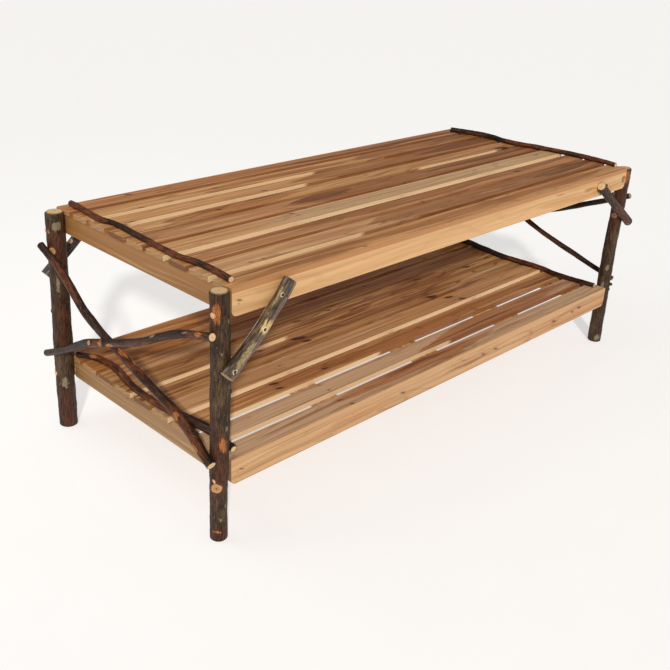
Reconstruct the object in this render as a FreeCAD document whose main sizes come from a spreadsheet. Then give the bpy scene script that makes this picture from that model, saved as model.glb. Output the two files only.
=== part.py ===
import FreeCAD, Part
import math
import os
import Sketcher
from FreeCAD import Placement, Rotation, Vector

# Rustic hickory table with a slatted top and a slatted shelf, in millimetres.
# The feet stand on z = 0. X runs along the length and the front faces -Y.

doc = FreeCAD.newDocument("rustic_table")

SIZES = {
    "frame_length": 1200.0,
    "frame_depth": 518.0,
    "table_height": 457.0,
    "shelf_height": 152.0,
    "rail_height": 39.0,
    "rail_thickness": 19.0,
    "rail_corner_radius": 10.0,
    "end_rail_inset": 4.0,
    "batten_thickness": 19.0,
    "batten_shift": 6.0,
    "slat_thickness": 9.0,
    "slat_width": 46.0,
    "slat_eased_edge": 0.8,
    "leg_radius": 16.0,
    "leg_offset": 15.0,
    "leg_inset": 13.0,
    "leg_drop": 3.0,
    "leg_top_bevel": 2.5,
    "leg_foot_bevel": 1.5,
    "leg_seat_margin": 2.0,
    "end_brace_radius": 7.4,
    "knee_brace_radius": 12.0,
    "knee_brace_reach": 119.0,
    "knee_brace_drop": 136.0,
    "knee_brace_tail": 8.0,
    "trim_radius": 6.0,
    "trim_inset": 17.0,
    "bark_bite": 0.8,
    "plug_radius": 4.8,
    "plug_depth": 7.0,
    "screw_head_radius": 3.8,
    "screw_head_height": 3.0,
    "screw_radius": 2.2,
    "screw_length": 58.0,
    "brad_gauge": 1.4,
    "brad_length": 25.0,
    "batten_brad_spacing": 8.0,
    "batten_brad_drop": 12.0,
    "batten_brad_length": 38.0,
    "corner_nail_gauge": 2.0,
    "corner_nail_length": 50.0,
    "branch_nail_gauge": 2.2,
    "branch_nail_grip": 22.0,
    "nail_proud": 0.5,
}

sheet = doc.addObject("Spreadsheet::Sheet", "sizes")
for row, (alias, value) in enumerate(SIZES.items(), start=1):
    sheet.set("A%d" % row, alias)
    sheet.set("B%d" % row, str(value))
    sheet.setAlias("B%d" % row, alias)
doc.recompute()


def size(alias):
    return float(sheet.get(alias))


half_length = size("frame_length") / 2
half_depth = size("frame_depth") / 2
rail_height = size("rail_height")
rail_thickness = size("rail_thickness")
slat_thickness = size("slat_thickness")
deck_heights = {"top": size("table_height"), "shelf": size("shelf_height")}
deck_spacing = deck_heights["top"] - deck_heights["shelf"]
leg_axis_x = half_length + size("leg_offset")
leg_axis_y = half_depth - size("leg_inset")
leg_height = deck_heights["top"] - size("leg_drop")
leg_radius = size("leg_radius")
bark_bite = size("bark_bite")
nail_proud = size("nail_proud")
end_rail_x = half_length - size("end_rail_inset") - rail_thickness / 2
end_rail_span = size("frame_depth") - 2 * rail_thickness

subparts = []


def keep(item, label):
    item.Label = label
    subparts.append(item)
    return item


def keep_shape(shape, label):
    """Keep a grown piece, or a group of equal fasteners, whose form no sketch gives."""
    item = doc.addObject("Part::Feature", label)
    item.Shape = shape
    item.Placement = Placement()
    return keep(item, label)


def lerp(low, high, share):
    return low + (high - low) * share


# Fasteners: square wire brads and nails, and the screws with plugs that hold the legs.

rod_sides = 8


def wire(head, direction, length, gauge):
    """A square wire nail that runs from the centre of its head along the direction."""
    corner = Vector(-gauge / 2, -gauge / 2, 0)
    nail = Part.makeBox(gauge, gauge, length, corner)
    nail.Placement = Placement(head, Rotation(Vector(0, 0, 1), direction))
    return nail


def rod(start, direction, radius, length):
    """An eight-sided peg along one axis, close to round at the size of a screw or a plug."""
    corners = []
    for corner in range(rod_sides + 1):
        angle = 2 * math.pi * corner / rod_sides
        corners.append(Vector(radius * math.cos(angle), radius * math.sin(angle), 0))
    outline = Part.makePolygon(corners)
    outline.Placement = Placement(start, Rotation(Vector(0, 0, 1), direction))
    return Part.Face(outline).extrude(direction * length)


def near(shape, solids):
    """The solids whose boxes reach the shape's box."""
    return [solid for solid in solids if solid.BoundBox.intersect(shape.BoundBox)]


def bored(shape, solids):
    """The shape with a tight hole for each fastener that reaches it."""
    reaching = near(shape, solids)
    return shape.cut(reaching) if reaching else shape


down = Vector(0, 0, -1)
slat_width_shares = {
    "top": (1.03, 1.06, 0.94, 1.06, 1.04, 0.94, 0.98, 1.0, 1.0),
    "shelf": (0.96, 0.94, 1.02, 1.06, 1.04, 1.08, 1.06, 1.02, 1.0),
}
brad_place_shares = (0.25, 0.75)
batten_place_shares = {"left": -0.5, "middle": 0.0, "right": 0.5}
leg_screw_height_shares = {"top": 0.22, "shelf": 0.42}
corner_nail_height_shares = {"top": 0.5, "shelf": 0.54}


def batten_x(place):
    return half_length * batten_place_shares[place] - size("batten_shift")


def slat_front_y(number, count):
    """Front edge of a slat: the first and last slats lie flush with the front and back rails."""
    step = (size("frame_depth") - size("slat_width")) / (count - 1)
    return -half_depth + step * number


def rail_low_z(deck):
    return deck_heights[deck] - slat_thickness - rail_height


def slat_brads(deck):
    """A pair of brads from each slat down into each end rail and each batten."""
    places = [-end_rail_x, end_rail_x] + [batten_x(place) for place in batten_place_shares]
    count = len(slat_width_shares[deck])
    brads = []
    for number, width_share in enumerate(slat_width_shares[deck]):
        for x in places:
            for brad_share in brad_place_shares:
                width = size("slat_width") * width_share
                y = slat_front_y(number, count) + width * brad_share
                head = Vector(x, y, deck_heights[deck])
                brads.append(wire(head, down, size("brad_length"), size("brad_gauge")))
    return brads


def frame_nails(deck):
    """One nail at each corner of a frame, and a pair of brads at each end of each batten."""
    nails = []
    corner_z = rail_low_z(deck) + rail_height * corner_nail_height_shares[deck]
    brad_z = deck_heights[deck] - slat_thickness - size("batten_brad_drop")
    for face in (-1, 1):
        inward = Vector(0, -face, 0)
        for side in (-1, 1):
            head = Vector(side * end_rail_x, face * half_depth, corner_z)
            nails.append(wire(head, inward, size("corner_nail_length"), size("corner_nail_gauge")))
        for place in batten_place_shares:
            for twin in (-1, 1):
                x = batten_x(place) + twin * size("batten_brad_spacing") / 2
                head = Vector(x, face * half_depth, brad_z)
                nails.append(wire(head, inward, size("batten_brad_length"), size("brad_gauge")))
    return nails


# Legs and branches: rings of bark joined by ruled sides, so that each stem bends and swells.

bark_ring_shares = (1.0, 0.985, 0.97, 0.99, 1.0, 0.98, 0.99, 1.0, 0.975, 0.985, 1.0, 0.99)


AXES = (Vector(1, 0, 0), Vector(0, 1, 0), Vector(0, 0, 1))


def stem_direction(points, place):
    before = points[max(place - 1, 0)]
    after = points[min(place + 1, len(points) - 1)]
    return (after - before).normalize()


def stem(points, radii, upright=False):
    """A grown stem through rings of bark at the points, cut square or, if upright, level."""
    run = points[-1] - points[0]
    reference = min(AXES, key=lambda axis: abs(run.dot(axis)))
    rings = []
    for place, (point, radius) in enumerate(zip(points, radii)):
        direction = AXES[2] if upright else stem_direction(points, place)
        across = direction.cross(reference).normalize()
        around = direction.cross(across)
        corners = []
        for corner, ring_share in enumerate(bark_ring_shares):
            angle = 2 * math.pi * corner / len(bark_ring_shares)
            outward = across * math.cos(angle) + around * math.sin(angle)
            corners.append(point + outward * (radius * ring_share))
        rings.append(Part.makePolygon(corners + corners[:1]))
    return Part.makeLoft(rings, True, True)


def knot(heart, direction, stem_radius, radius, length):
    """A pruned side branch: a short tapered stub that grows from the heart of its stem."""
    tip = heart + direction * (stem_radius + length)
    return stem([heart, tip], [radius * knot_root_share, radius])


def heading(azimuth):
    return Vector(math.cos(math.radians(azimuth)), math.sin(math.radians(azimuth)), 0)


knot_root_share = 1.15
leg_station_shares = (0.0, 0.2, 0.34, 0.5, 0.66, 0.8, 1.0)

LEGS = {
    "leg_front_left": (-1, -1),
    "leg_front_right": (1, -1),
    "leg_back_left": (-1, 1),
    "leg_back_right": (1, 1),
}
leg_girth_shares = {
    "leg_front_left": (0.93, 0.92, 0.97, 1.01, 1.02, 1.01, 0.98),
    "leg_front_right": (1.0, 0.98, 0.96, 0.94, 0.93, 0.94, 0.95),
    "leg_back_left": (1.12, 1.14, 1.17, 1.15, 1.11, 1.09, 1.1),
    "leg_back_right": (1.04, 1.02, 1.03, 1.0, 0.98, 0.97, 0.97),
}
leg_sway_x_shares = {
    "leg_front_left": (-0.05, -0.05, 0.0, 0.05, 0.1, 0.1, 0.03),
    "leg_front_right": (0.0, -0.05, -0.1, -0.12, -0.08, -0.02, 0.0),
    "leg_back_left": (-0.05, -0.05, -0.03, 0.02, 0.1, 0.13, 0.14),
    "leg_back_right": (0.05, 0.08, 0.04, 0.0, -0.05, -0.02, 0.04),
}
leg_sway_y_shares = {
    "leg_front_left": (0.05, 0.04, 0.0, -0.05, -0.1, -0.1, -0.03),
    "leg_front_right": (0.0, 0.05, 0.1, 0.1, 0.05, 0.0, 0.0),
    "leg_back_left": (0.04, 0.05, 0.0, -0.04, -0.08, -0.1, -0.12),
    "leg_back_right": (0.0, 0.06, 0.1, 0.05, 0.0, -0.05, 0.0),
}
knot_share_sets = {
    "leg_front_left": ((0.222, 205, 0.52, 0.1), (0.62, 300, 0.3, 0.12)),
    "leg_front_right": ((0.745, 190, 0.4, 0.1), (0.345, 300, 0.2, 0.34)),
    "leg_back_left": ((0.84, 197, 0.38, 0.08), (0.55, 120, 0.34, 0.1)),
    "leg_back_right": ((0.3, 60, 0.42, 0.1), (0.7, 20, 0.3, 0.12)),
}


def station_value(shares, height):
    """A leg's share at a height, between the two stations beside it."""
    place = min(max(height / leg_height, 0), 1)
    for low, high, start, end in zip(
        leg_station_shares, leg_station_shares[1:], shares, shares[1:]
    ):
        if place <= high:
            return lerp(start, end, (place - low) / (high - low))
    return shares[-1]


def leg_radius_at(name, height):
    return leg_radius * station_value(leg_girth_shares[name], height)


def leg_axis_at(name, height):
    side, face = LEGS[name]
    sway_x = leg_radius * station_value(leg_sway_x_shares[name], height)
    sway_y = leg_radius * station_value(leg_sway_y_shares[name], height)
    return Vector(side * leg_axis_x + sway_x, face * leg_axis_y + sway_y, height)


def leg_stem(name):
    """A leg with bevelled ends, its pruned knots, and flats where it meets the frames."""
    top_bevel = size("leg_top_bevel")
    foot_bevel = size("leg_foot_bevel")
    inner = [leg_height * share for share in leg_station_shares[1:-1]]
    heights = [0, foot_bevel] + inner + [leg_height - top_bevel, leg_height]
    radii = [leg_radius_at(name, height) for height in heights]
    radii[0] -= foot_bevel
    radii[-1] -= top_bevel
    shape = stem([leg_axis_at(name, height) for height in heights], radii, upright=True)
    for height_share, azimuth, radius_share, length_share in knot_share_sets[name]:
        height = leg_height * height_share
        centre = leg_axis_at(name, height)
        reach = leg_radius_at(name, height)
        shape = shape.fuse(knot(
            centre, heading(azimuth), reach, leg_radius * radius_share, leg_radius * length_share
        ))
    return shape.cut(leg_seats(name))


def leg_seats(name):
    """The blocks of space that the two board frames take from a leg."""
    side, face = LEGS[name]
    margin = size("leg_seat_margin")
    seats = []
    for deck, deck_height in deck_heights.items():
        low_x = half_length - leg_radius if side > 0 else -half_length
        low_y = face * leg_axis_y - 2 * leg_radius
        low_z = rail_low_z(deck) - margin
        high_z = deck_height + margin
        corner = Vector(low_x, low_y, low_z)
        seats.append(Part.makeBox(leg_radius, 4 * leg_radius, high_z - low_z, corner))
    return seats


def rail_centre_y(face):
    return face * (half_depth - rail_thickness / 2)


def leg_outer_x(name, height, y):
    """Where the bark lies on the outer side of a leg, along the line of its screw."""
    axis = leg_axis_at(name, height)
    reach = leg_radius_at(name, height)
    return abs(axis.x) + math.sqrt(reach ** 2 - (y - axis.y) ** 2)


def screw_height(deck):
    return rail_low_z(deck) + rail_height * leg_screw_height_shares[deck]


def leg_screw(name, deck):
    """A screw from the bottom of its plug hole, through the leg, into a rail's end."""
    side, face = LEGS[name]
    height = screw_height(deck)
    y = rail_centre_y(face)
    seat_x = leg_outer_x(name, height, y) - size("plug_depth")
    inward = Vector(-side, 0, 0)
    seat = Vector(side * seat_x, y, height)
    head = rod(seat, inward, size("screw_head_radius"), size("screw_head_height"))
    shank = rod(seat, inward, size("screw_radius"), size("screw_length"))
    return head.fuse(shank)


def plug_bore(name, deck):
    side, face = LEGS[name]
    height = screw_height(deck)
    y = rail_centre_y(face)
    seat_x = leg_outer_x(name, height, y) - size("plug_depth")
    outward = Vector(side, 0, 0)
    seat = Vector(side * seat_x, y, height)
    return rod(seat, outward, size("plug_radius"), 2 * size("plug_depth"))


# End braces: two crossed branches on the outside of each pair of legs.

END_BRACES = {
    "end_brace_left_forked": -1,
    "end_brace_left_crossing": -1,
    "end_brace_right_lower": 1,
    "end_brace_right_crossing": 1,
}
# Each row is a place along the depth, a rise from shelf to top, a stand-off and a girth.
end_brace_route_shares = {
    "end_brace_left_forked": (
        (0.997, 0.778, 1.0, 0.97), (0.797, 0.716, 1.0, 1.0), (0.565, 0.593, 0.88, 0.97),
        (0.284, 0.4445, 0.7, 0.95), (0.09, 0.35, 0.6, 0.96), (-0.15, 0.259, 0.44, 1.0),
        (-0.36, 0.2, 0.3, 1.08), (-0.5, 0.163, 0.22, 1.16),
    ),
    "end_brace_left_crossing": (
        (1.042, 0.025, 1.0, 0.9), (0.827, 0.107, 1.0, 0.95), (0.664, 0.178, 1.03, 1.0),
        (0.506, 0.254, 1.09, 1.06), (0.357, 0.3154, 1.16, 1.14), (0.083, 0.4036, 1.26, 1.02),
        (-0.27, 0.52, 1.2, 0.98), (-0.49, 0.618, 1.1, 0.96), (-0.697, 0.698, 1.04, 0.94),
        (-0.842, 0.736, 1.0, 0.94), (-0.998, 0.77, 1.0, 0.95),
    ),
    "end_brace_right_lower": (
        (1.0, 0.77, 1.0, 0.9), (0.8, 0.71, 1.0, 0.9), (0.56, 0.585, 0.92, 0.88),
        (0.28, 0.445, 0.84, 0.86), (0.02, 0.33, 0.8, 0.86), (-0.24, 0.242, 0.86, 0.85),
        (-0.54, 0.16, 0.95, 0.84), (-0.835, 0.083, 1.0, 0.84), (-0.985, 0.05, 1.0, 0.8),
    ),
    "end_brace_right_crossing": (
        (1.03, 0.04, 1.0, 0.95), (0.82, 0.115, 1.0, 0.95), (0.6, 0.2, 1.1, 0.93),
        (0.33, 0.3, 1.3, 0.93), (0.06, 0.39, 1.42, 0.92), (-0.2, 0.47, 1.34, 0.92),
        (-0.41, 0.54, 1.18, 0.9), (-0.61, 0.615, 1.06, 0.9), (-0.78, 0.675, 1.0, 0.88),
        (-1.01, 0.76, 1.0, 0.85),
    ),
}
fork_tine_route_shares = {
    "outer": (
        (-0.36, 0.2, 0.3, 0.8), (-0.52, 0.155, 0.26, 0.92), (-0.69, 0.104, 0.52, 0.94),
        (-0.844, 0.064, 0.82, 0.93), (-0.985, 0.018, 1.0, 0.93),
    ),
    "inner": (
        (-0.36, 0.2, 0.3, 0.7), (-0.53, 0.172, 0.06, 0.84), (-0.66, 0.14, -0.36, 0.84),
        (-0.79, 0.1, -0.84, 0.82), (-0.99, 0.066, -1.03, 0.82),
    ),
}


def side_leg(side, face):
    return [name for name, place in LEGS.items() if place == (side, face)][0]


def deck_rise(rise_share):
    return deck_heights["shelf"] + deck_spacing * rise_share


def end_brace_points(side, rows, girth):
    """Route points and radii; a stand-off of 1 lays the branch against the legs."""
    points = []
    radii = []
    for along_share, rise_share, out_share, girth_share in rows:
        height = deck_rise(rise_share)
        radius = girth * girth_share
        back = leg_radius_at(side_leg(side, 1), height)
        front = leg_radius_at(side_leg(side, -1), height)
        stand_off = lerp(front, back, (1 + along_share) / 2) + radius - bark_bite
        x = side * (leg_axis_x + stand_off * out_share)
        points.append(Vector(x, along_share * half_depth, height))
        radii.append(radius)
    return points, radii


def route_at(points, radii, axis, value):
    """The point and radius of a route where one of its coordinates has the value."""
    for start, end, start_radius, end_radius in zip(points, points[1:], radii, radii[1:]):
        low, high = sorted((start[axis], end[axis]))
        if low <= value <= high:
            share = (value - start[axis]) / (end[axis] - start[axis])
            return start + (end - start) * share, lerp(start_radius, end_radius, share)
    return points[-1], radii[-1]


# Knee braces: stout diagonal branches from the long rails down to the legs.

# Each row is the end of the table, its face, and shares of reach, fall, tail, girth and bow.
knee_brace_shares = {
    "knee_brace_front_left": (-1, -1, 1.0, 0.03, 1.0, 1.0, 0.45),
    "knee_brace_front_right": (1, -1, 1.2, 0.3, 2.3, 0.97, 0.1),
    "knee_brace_back_left": (-1, 1, 1.0, 0.2, 1.4, 0.88, 0.2),
    "knee_brace_back_right": (1, 1, 1.05, 0.15, 1.2, 1.05, 0.3),
}
knee_station_shares = (0.0, 0.3, 0.62, 1.0)
knee_taper_shares = (0.98, 0.97, 1.0, 1.03)
knee_bow_shares = (0.0, 0.9, 1.0, 0.0)
# Each row is a place along the brace, an angle round it, and shares of radius and length.
knee_knot_shares = {
    "knee_brace_front_left": ((0.45, 300, 0.42, 0.12), (0.93, 250, 0.34, 0.14)),
    "knee_brace_front_right": ((0.3, 75, 0.4, 0.4), (0.08, 80, 0.22, 0.3)),
    "knee_brace_back_left": ((0.55, 120, 0.4, 0.15),),
    "knee_brace_back_right": ((0.4, 70, 0.4, 0.2),),
}


def knee_brace_points(name):
    """Route from the rail's face down to the leg, bowed towards the corner's open side."""
    side, face, reach_share, fall_share, tail_share, girth_share, bow_share = (
        knee_brace_shares[name]
    )
    radius = size("knee_brace_radius") * girth_share
    high_z = deck_heights["top"] - slat_thickness - rail_height * fall_share
    low_z = deck_heights["top"] - size("knee_brace_drop")
    leg = side_leg(side, face)
    axis = leg_axis_at(leg, low_z)
    high = Vector(
        side * (leg_axis_x - size("knee_brace_reach") * reach_share),
        face * (half_depth + radius - bark_bite),
        high_z,
    )
    low = Vector(
        side * (leg_axis_x + size("knee_brace_tail") * tail_share),
        axis.y + face * (leg_radius_at(leg, low_z) + radius - bark_bite),
        low_z,
    )
    run = low - high
    sag = Vector(-side * abs(run.z), 0, -abs(run.x)).normalize() * (radius * bow_share)
    points = [
        high + run * station_share + sag * bow
        for station_share, bow in zip(knee_station_shares, knee_bow_shares)
    ]
    return points, [radius * taper_share for taper_share in knee_taper_shares]


def knee_brace(name, legs):
    """A knee brace with its pruned stubs, flat against the rail and coped to the leg."""
    side, face = knee_brace_shares[name][:2]
    points, radii = knee_brace_points(name)
    shape = stem(points, radii)
    run = points[-1] - points[0]
    for along_share, angle, radius_share, length_share in knee_knot_shares[name]:
        across = Vector(side * abs(run.z), 0, abs(run.x)).normalize()
        outward = Vector(0, face, 0)
        turn = math.radians(angle)
        direction = (across * math.sin(turn) + outward * math.cos(turn)).normalize()
        centre = route_at(points, radii, 0, points[0].x + run.x * along_share)[0]
        shape = shape.fuse(knot(
            centre, direction, radii[0], radii[0] * radius_share, radii[0] * length_share
        ))
    board_space = Part.makeBox(
        size("frame_length"), size("frame_depth"), leg_height,
        Vector(-half_length, -half_depth, 0),
    )
    return shape.cut([board_space, legs[side_leg(side, face)]])


# Trim branches: bark twigs that cover the slat ends.

# Each row is a place along the depth, an inset from the frame's end and a girth.
trim_route_shares = {
    "top_trim_left": (
        "top", -1,
        ((0.955, 1.4, 0.95), (0.81, 1.25, 0.95), (0.51, 0.9, 0.9), (0.31, 1.35, 0.86),
         (-0.34, 0.7, 0.9), (-0.6, 1.16, 0.9), (-0.8, 1.02, 0.95), (-0.925, 0.86, 0.9)),
    ),
    "top_trim_right": (
        "top", 1,
        ((0.9, 2.4, 1.1), (0.62, 1.3, 1.12), (0.42, 1.35, 1.08), (0.19, 1.7, 1.05),
         (-0.19, 0.75, 1.0), (-0.42, 0.5, 1.02), (-0.71, 0.5, 0.98), (-0.91, 0.8, 0.9)),
    ),
    "shelf_trim_left": (
        "shelf", -1,
        ((0.885, 0.3, 1.05), (0.71, 1.6, 1.1), (0.5, 1.7, 1.1), (0.22, 0.9, 1.08),
         (-0.05, 0.65, 1.05), (-0.35, 0.6, 1.05), (-0.65, 0.7, 1.0), (-0.88, 0.8, 0.95)),
    ),
    "shelf_trim_right": (
        "shelf", 1,
        ((0.9, 0.8, 1.15), (0.66, 0.5, 1.2), (0.42, 1.25, 1.18), (0.13, 2.1, 1.15),
         (-0.11, 2.0, 1.12), (-0.34, 1.75, 1.1), (-0.48, 2.3, 1.1), (-0.69, 2.2, 1.05),
         (-0.92, 1.5, 1.0)),
    ),
}
trim_nail_slats = (1, 4, 7)
trim_nail_depth_share = 0.8


def trim_points(name):
    deck, side, rows = trim_route_shares[name]
    points = []
    radii = []
    for along_share, inset_share, girth_share in rows:
        radius = size("trim_radius") * girth_share
        x = side * (half_length - size("trim_inset") * inset_share)
        height = deck_heights[deck] + radius - bark_bite
        points.append(Vector(x, along_share * half_depth, height))
        radii.append(radius)
    return points, radii


def trim_branch(name):
    """A twig along the slat ends, flat beneath where it lies on the slats."""
    deck = trim_route_shares[name][0]
    points, radii = trim_points(name)
    slat_space = Part.makeBox(
        size("frame_length"), size("frame_depth"), deck_heights[deck],
        Vector(-half_length, -half_depth, 0),
    )
    return stem(points, radii).cut(slat_space)


# Nails through the branches.

brace_crossing_shares = {-1: 0.135, 1: 0.115}


def branch_nail(route, axis, value, inward, grip):
    """A nail driven square through a branch where its route has the value, into what lies behind."""
    centre, radius = route_at(*route, axis, value)
    head = centre - inward * (radius + nail_proud)
    return wire(head, inward, 2 * radius + nail_proud + grip, size("branch_nail_gauge"))


def end_brace_nails():
    """Nails through the ends of each brace into the legs, and one through each crossing."""
    grip = size("branch_nail_grip")
    nails = []
    for name, side in END_BRACES.items():
        inward = Vector(-side, 0, 0)
        route = brace_routes[name]
        nails.append(branch_nail(route, 1, leg_axis_y, inward, grip))
        if "crossing" in name:
            crossing_y = half_depth * brace_crossing_shares[side]
            crossing_grip = size("end_brace_radius")
            nails.append(branch_nail(route, 1, crossing_y, inward, crossing_grip))
        if "forked" not in name:
            nails.append(branch_nail(route, 1, -leg_axis_y, inward, grip))
    nails.append(branch_nail(tine_routes["outer"], 1, -leg_axis_y, Vector(1, 0, 0), grip))
    nails.append(branch_nail(tine_routes["inner"], 1, -leg_axis_y, Vector(-1, 0, 0), grip))
    return nails


def knee_brace_nails(name):
    """One nail into the long rail and one into the leg."""
    side, face = knee_brace_shares[name][:2]
    route = knee_brace_points(name)
    gauge = size("branch_nail_gauge")
    inward = Vector(0, -face, 0)
    rail_middle = deck_heights["top"] - slat_thickness - rail_height / 2
    rail_z = min(rail_middle, route[0][0].z - rail_height / 4)
    return [
        branch_nail(route, 2, rail_z, inward, rail_thickness - gauge),
        branch_nail(route, 0, side * leg_axis_x, inward, size("branch_nail_grip")),
    ]


def trim_nails(name):
    """Brads through a twig into the slats beneath it."""
    deck = trim_route_shares[name][0]
    points, radii = trim_points(name)
    count = len(slat_width_shares[deck])
    nails = []
    for number in trim_nail_slats:
        y = slat_front_y(number, count) + size("slat_width") / 2
        centre, radius = route_at(points, radii, 1, y)
        head = Vector(centre.x, y, centre.z + radius + nail_proud)
        tip_z = deck_heights[deck] - slat_thickness * trim_nail_depth_share
        nails.append(wire(head, down, head.z - tip_z, size("brad_gauge")))
    return nails


# Boards: each is a rectangle sketched on its own plane and padded to its thickness.

def plane_of(body, role):
    return [item for item in body.Origin.OriginFeatures if item.Role == role][0]


def rectangle(body, label, role, length_formula, width_formula):
    """A sketched rectangle centred on the body's origin, with both sizes bound to the sheet."""
    sketch = body.newObject("Sketcher::SketchObject", label + "_outline")
    sketch.AttachmentSupport = [(plane_of(body, role), "")]
    sketch.MapMode = "FlatFace"
    reach = Vector(half_length, half_depth, 0)
    corners = [
        Vector(-reach.x, -reach.y, 0), Vector(reach.x, -reach.y, 0),
        Vector(reach.x, reach.y, 0), Vector(-reach.x, reach.y, 0),
    ]
    for start, end in zip(corners, corners[1:] + corners[:1]):
        sketch.addGeometry(Part.LineSegment(start, end), False)
    for side in range(4):
        sketch.addConstraint(Sketcher.Constraint("Coincident", side, 2, (side + 1) % 4, 1))
    for side in (0, 2):
        sketch.addConstraint(Sketcher.Constraint("Horizontal", side))
    for side in (1, 3):
        sketch.addConstraint(Sketcher.Constraint("Vertical", side))
    sketch.addConstraint(Sketcher.Constraint("Symmetric", 0, 1, 2, 1, -1, 1))
    length = sketch.addConstraint(Sketcher.Constraint("DistanceX", 0, 1, 0, 2, 2 * reach.x))
    width = sketch.addConstraint(Sketcher.Constraint("DistanceY", 1, 1, 1, 2, 2 * reach.y))
    sketch.setExpression("Constraints[%d]" % length, length_formula)
    sketch.setExpression("Constraints[%d]" % width, width_formula)
    return sketch


def board(label, role, length_formula, width_formula, thickness_formula):
    """A sawn board centred on its own origin."""
    body = doc.addObject("PartDesign::Body", label + "_board")
    pad = body.newObject("PartDesign::Pad", label + "_sawn")
    pad.Profile = rectangle(body, label, role, length_formula, width_formula)
    pad.SideType = "Symmetric"
    pad.setExpression("Length", thickness_formula)
    doc.recompute()
    return body, pad


def ease(body, pad, feature, property_name, formula, wanted):
    """Round or bevel the edges of a board that the test picks."""
    eased = body.newObject(feature, pad.Name + "_eased")
    names = ["Edge%d" % number for number, edge in enumerate(pad.Shape.Edges, start=1) if wanted(edge)]
    eased.Base = (pad, names)
    eased.setExpression(property_name, formula)


def lower_corner(edge):
    """An edge through the board's thickness at its lower left or lower right corner."""
    box = edge.BoundBox
    return box.ZMax < 0 and box.YLength > box.XLength


def top_edge(edge):
    return edge.BoundBox.ZMin > 0


def long_rail(label, deck, face):
    body, pad = board(
        label, "XZ_Plane", "sizes.frame_length", "sizes.rail_height", "sizes.rail_thickness"
    )
    ease(body, pad, "PartDesign::Fillet", "Radius", "sizes.rail_corner_radius", lower_corner)
    height = rail_low_z(deck) + rail_height / 2
    body.Placement = Placement(Vector(0, rail_centre_y(face), height), Rotation())
    return body


def cross_rail(label, deck, x, thickness_formula):
    """An end rail or a batten, on edge between the long rails."""
    body, pad = board(
        label, "XZ_Plane", "sizes.frame_depth - 2 * sizes.rail_thickness",
        "sizes.rail_height", thickness_formula,
    )
    height = rail_low_z(deck) + rail_height / 2
    quarter_turn = Rotation(Vector(1, 0, 0), Vector(0, 1, 0))
    body.Placement = Placement(Vector(x, 0, height), quarter_turn)
    return body


def slat(label, deck, number):
    width_shares = slat_width_shares[deck]
    width_share = width_shares[number]
    body, pad = board(
        label, "XY_Plane", "sizes.frame_length", "sizes.slat_width * %g" % width_share,
        "sizes.slat_thickness",
    )
    ease(body, pad, "PartDesign::Chamfer", "Size", "sizes.slat_eased_edge", top_edge)
    width = size("slat_width") * width_share
    front_y = slat_front_y(number, len(width_shares))
    last = number == len(width_shares) - 1
    middle_y = half_depth - width / 2 if last else front_y + width / 2
    height = deck_heights[deck] - slat_thickness / 2
    body.Placement = Placement(Vector(0, middle_y, height), Rotation())
    return body


def drilled(body, label, solids):
    """The board with a tight hole for each fastener that reaches it."""
    doc.recompute()
    reaching = near(body.Shape, solids)
    if not reaching:
        return keep(body, label)
    holes = doc.addObject("Part::Feature", label + "_holes")
    holes.Shape = Part.makeCompound(reaching)
    cut = doc.addObject("Part::Cut", label)
    cut.Base = body
    cut.Tool = holes
    return keep(cut, label)


# Legs, each with its screws and plugs.

raw_legs = {name: leg_stem(name) for name in LEGS}
screws = []
plugs = []
bores = {name: [] for name in LEGS}
for name in LEGS:
    for deck in deck_heights:
        screws.append(leg_screw(name, deck))
        bores[name].append(plug_bore(name, deck))
        plugs.append(raw_legs[name].common(bores[name][-1]))

# Braces, each cut to fit the legs, and the outer one of a pair cut to fit the inner one.

brace_routes = {
    name: end_brace_points(side, end_brace_route_shares[name], size("end_brace_radius"))
    for name, side in END_BRACES.items()
}
tine_routes = {
    name: end_brace_points(-1, rows, size("end_brace_radius"))
    for name, rows in fork_tine_route_shares.items()
}
end_braces = {}
for side, inner, outer in (
    (-1, "end_brace_left_forked", "end_brace_left_crossing"),
    (1, "end_brace_right_lower", "end_brace_right_crossing"),
):
    pair_legs = [raw_legs[side_leg(side, face)] for face in (-1, 1)]
    inner_shape = stem(*brace_routes[inner])
    if side < 0:
        inner_shape = inner_shape.fuse([stem(*route) for route in tine_routes.values()])
    end_braces[inner] = inner_shape.cut(pair_legs)
    end_braces[outer] = stem(*brace_routes[outer]).cut(pair_legs + [end_braces[inner]])
knee_braces = {name: knee_brace(name, raw_legs) for name in knee_brace_shares}
trims = {name: trim_branch(name) for name in trim_route_shares}

# Fasteners, in the groups that one box of nails or screws would hold.

fasteners = {
    "leg_screws": screws,
    "shelf_slat_brads": slat_brads("shelf"),
    "top_rail_nails": frame_nails("top"),
    "shelf_rail_nails": frame_nails("shelf"),
    "end_brace_nails": end_brace_nails(),
    "knee_brace_nails": [nail for name in knee_brace_shares for nail in knee_brace_nails(name)],
    "trim_nails": [nail for name in trim_route_shares for nail in trim_nails(name)],
}
all_fasteners = [solid for group in fasteners.values() for solid in group]

for name, shape in raw_legs.items():
    keep_shape(bored(shape.cut(bores[name]), all_fasteners), name)
for pieces in (end_braces, knee_braces, trims):
    for name, shape in pieces.items():
        keep_shape(bored(shape, all_fasteners), name)
for name, solids in fasteners.items():
    keep_shape(Part.makeCompound(solids), name)
keep_shape(Part.makeCompound(plugs), "leg_plugs")

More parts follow.
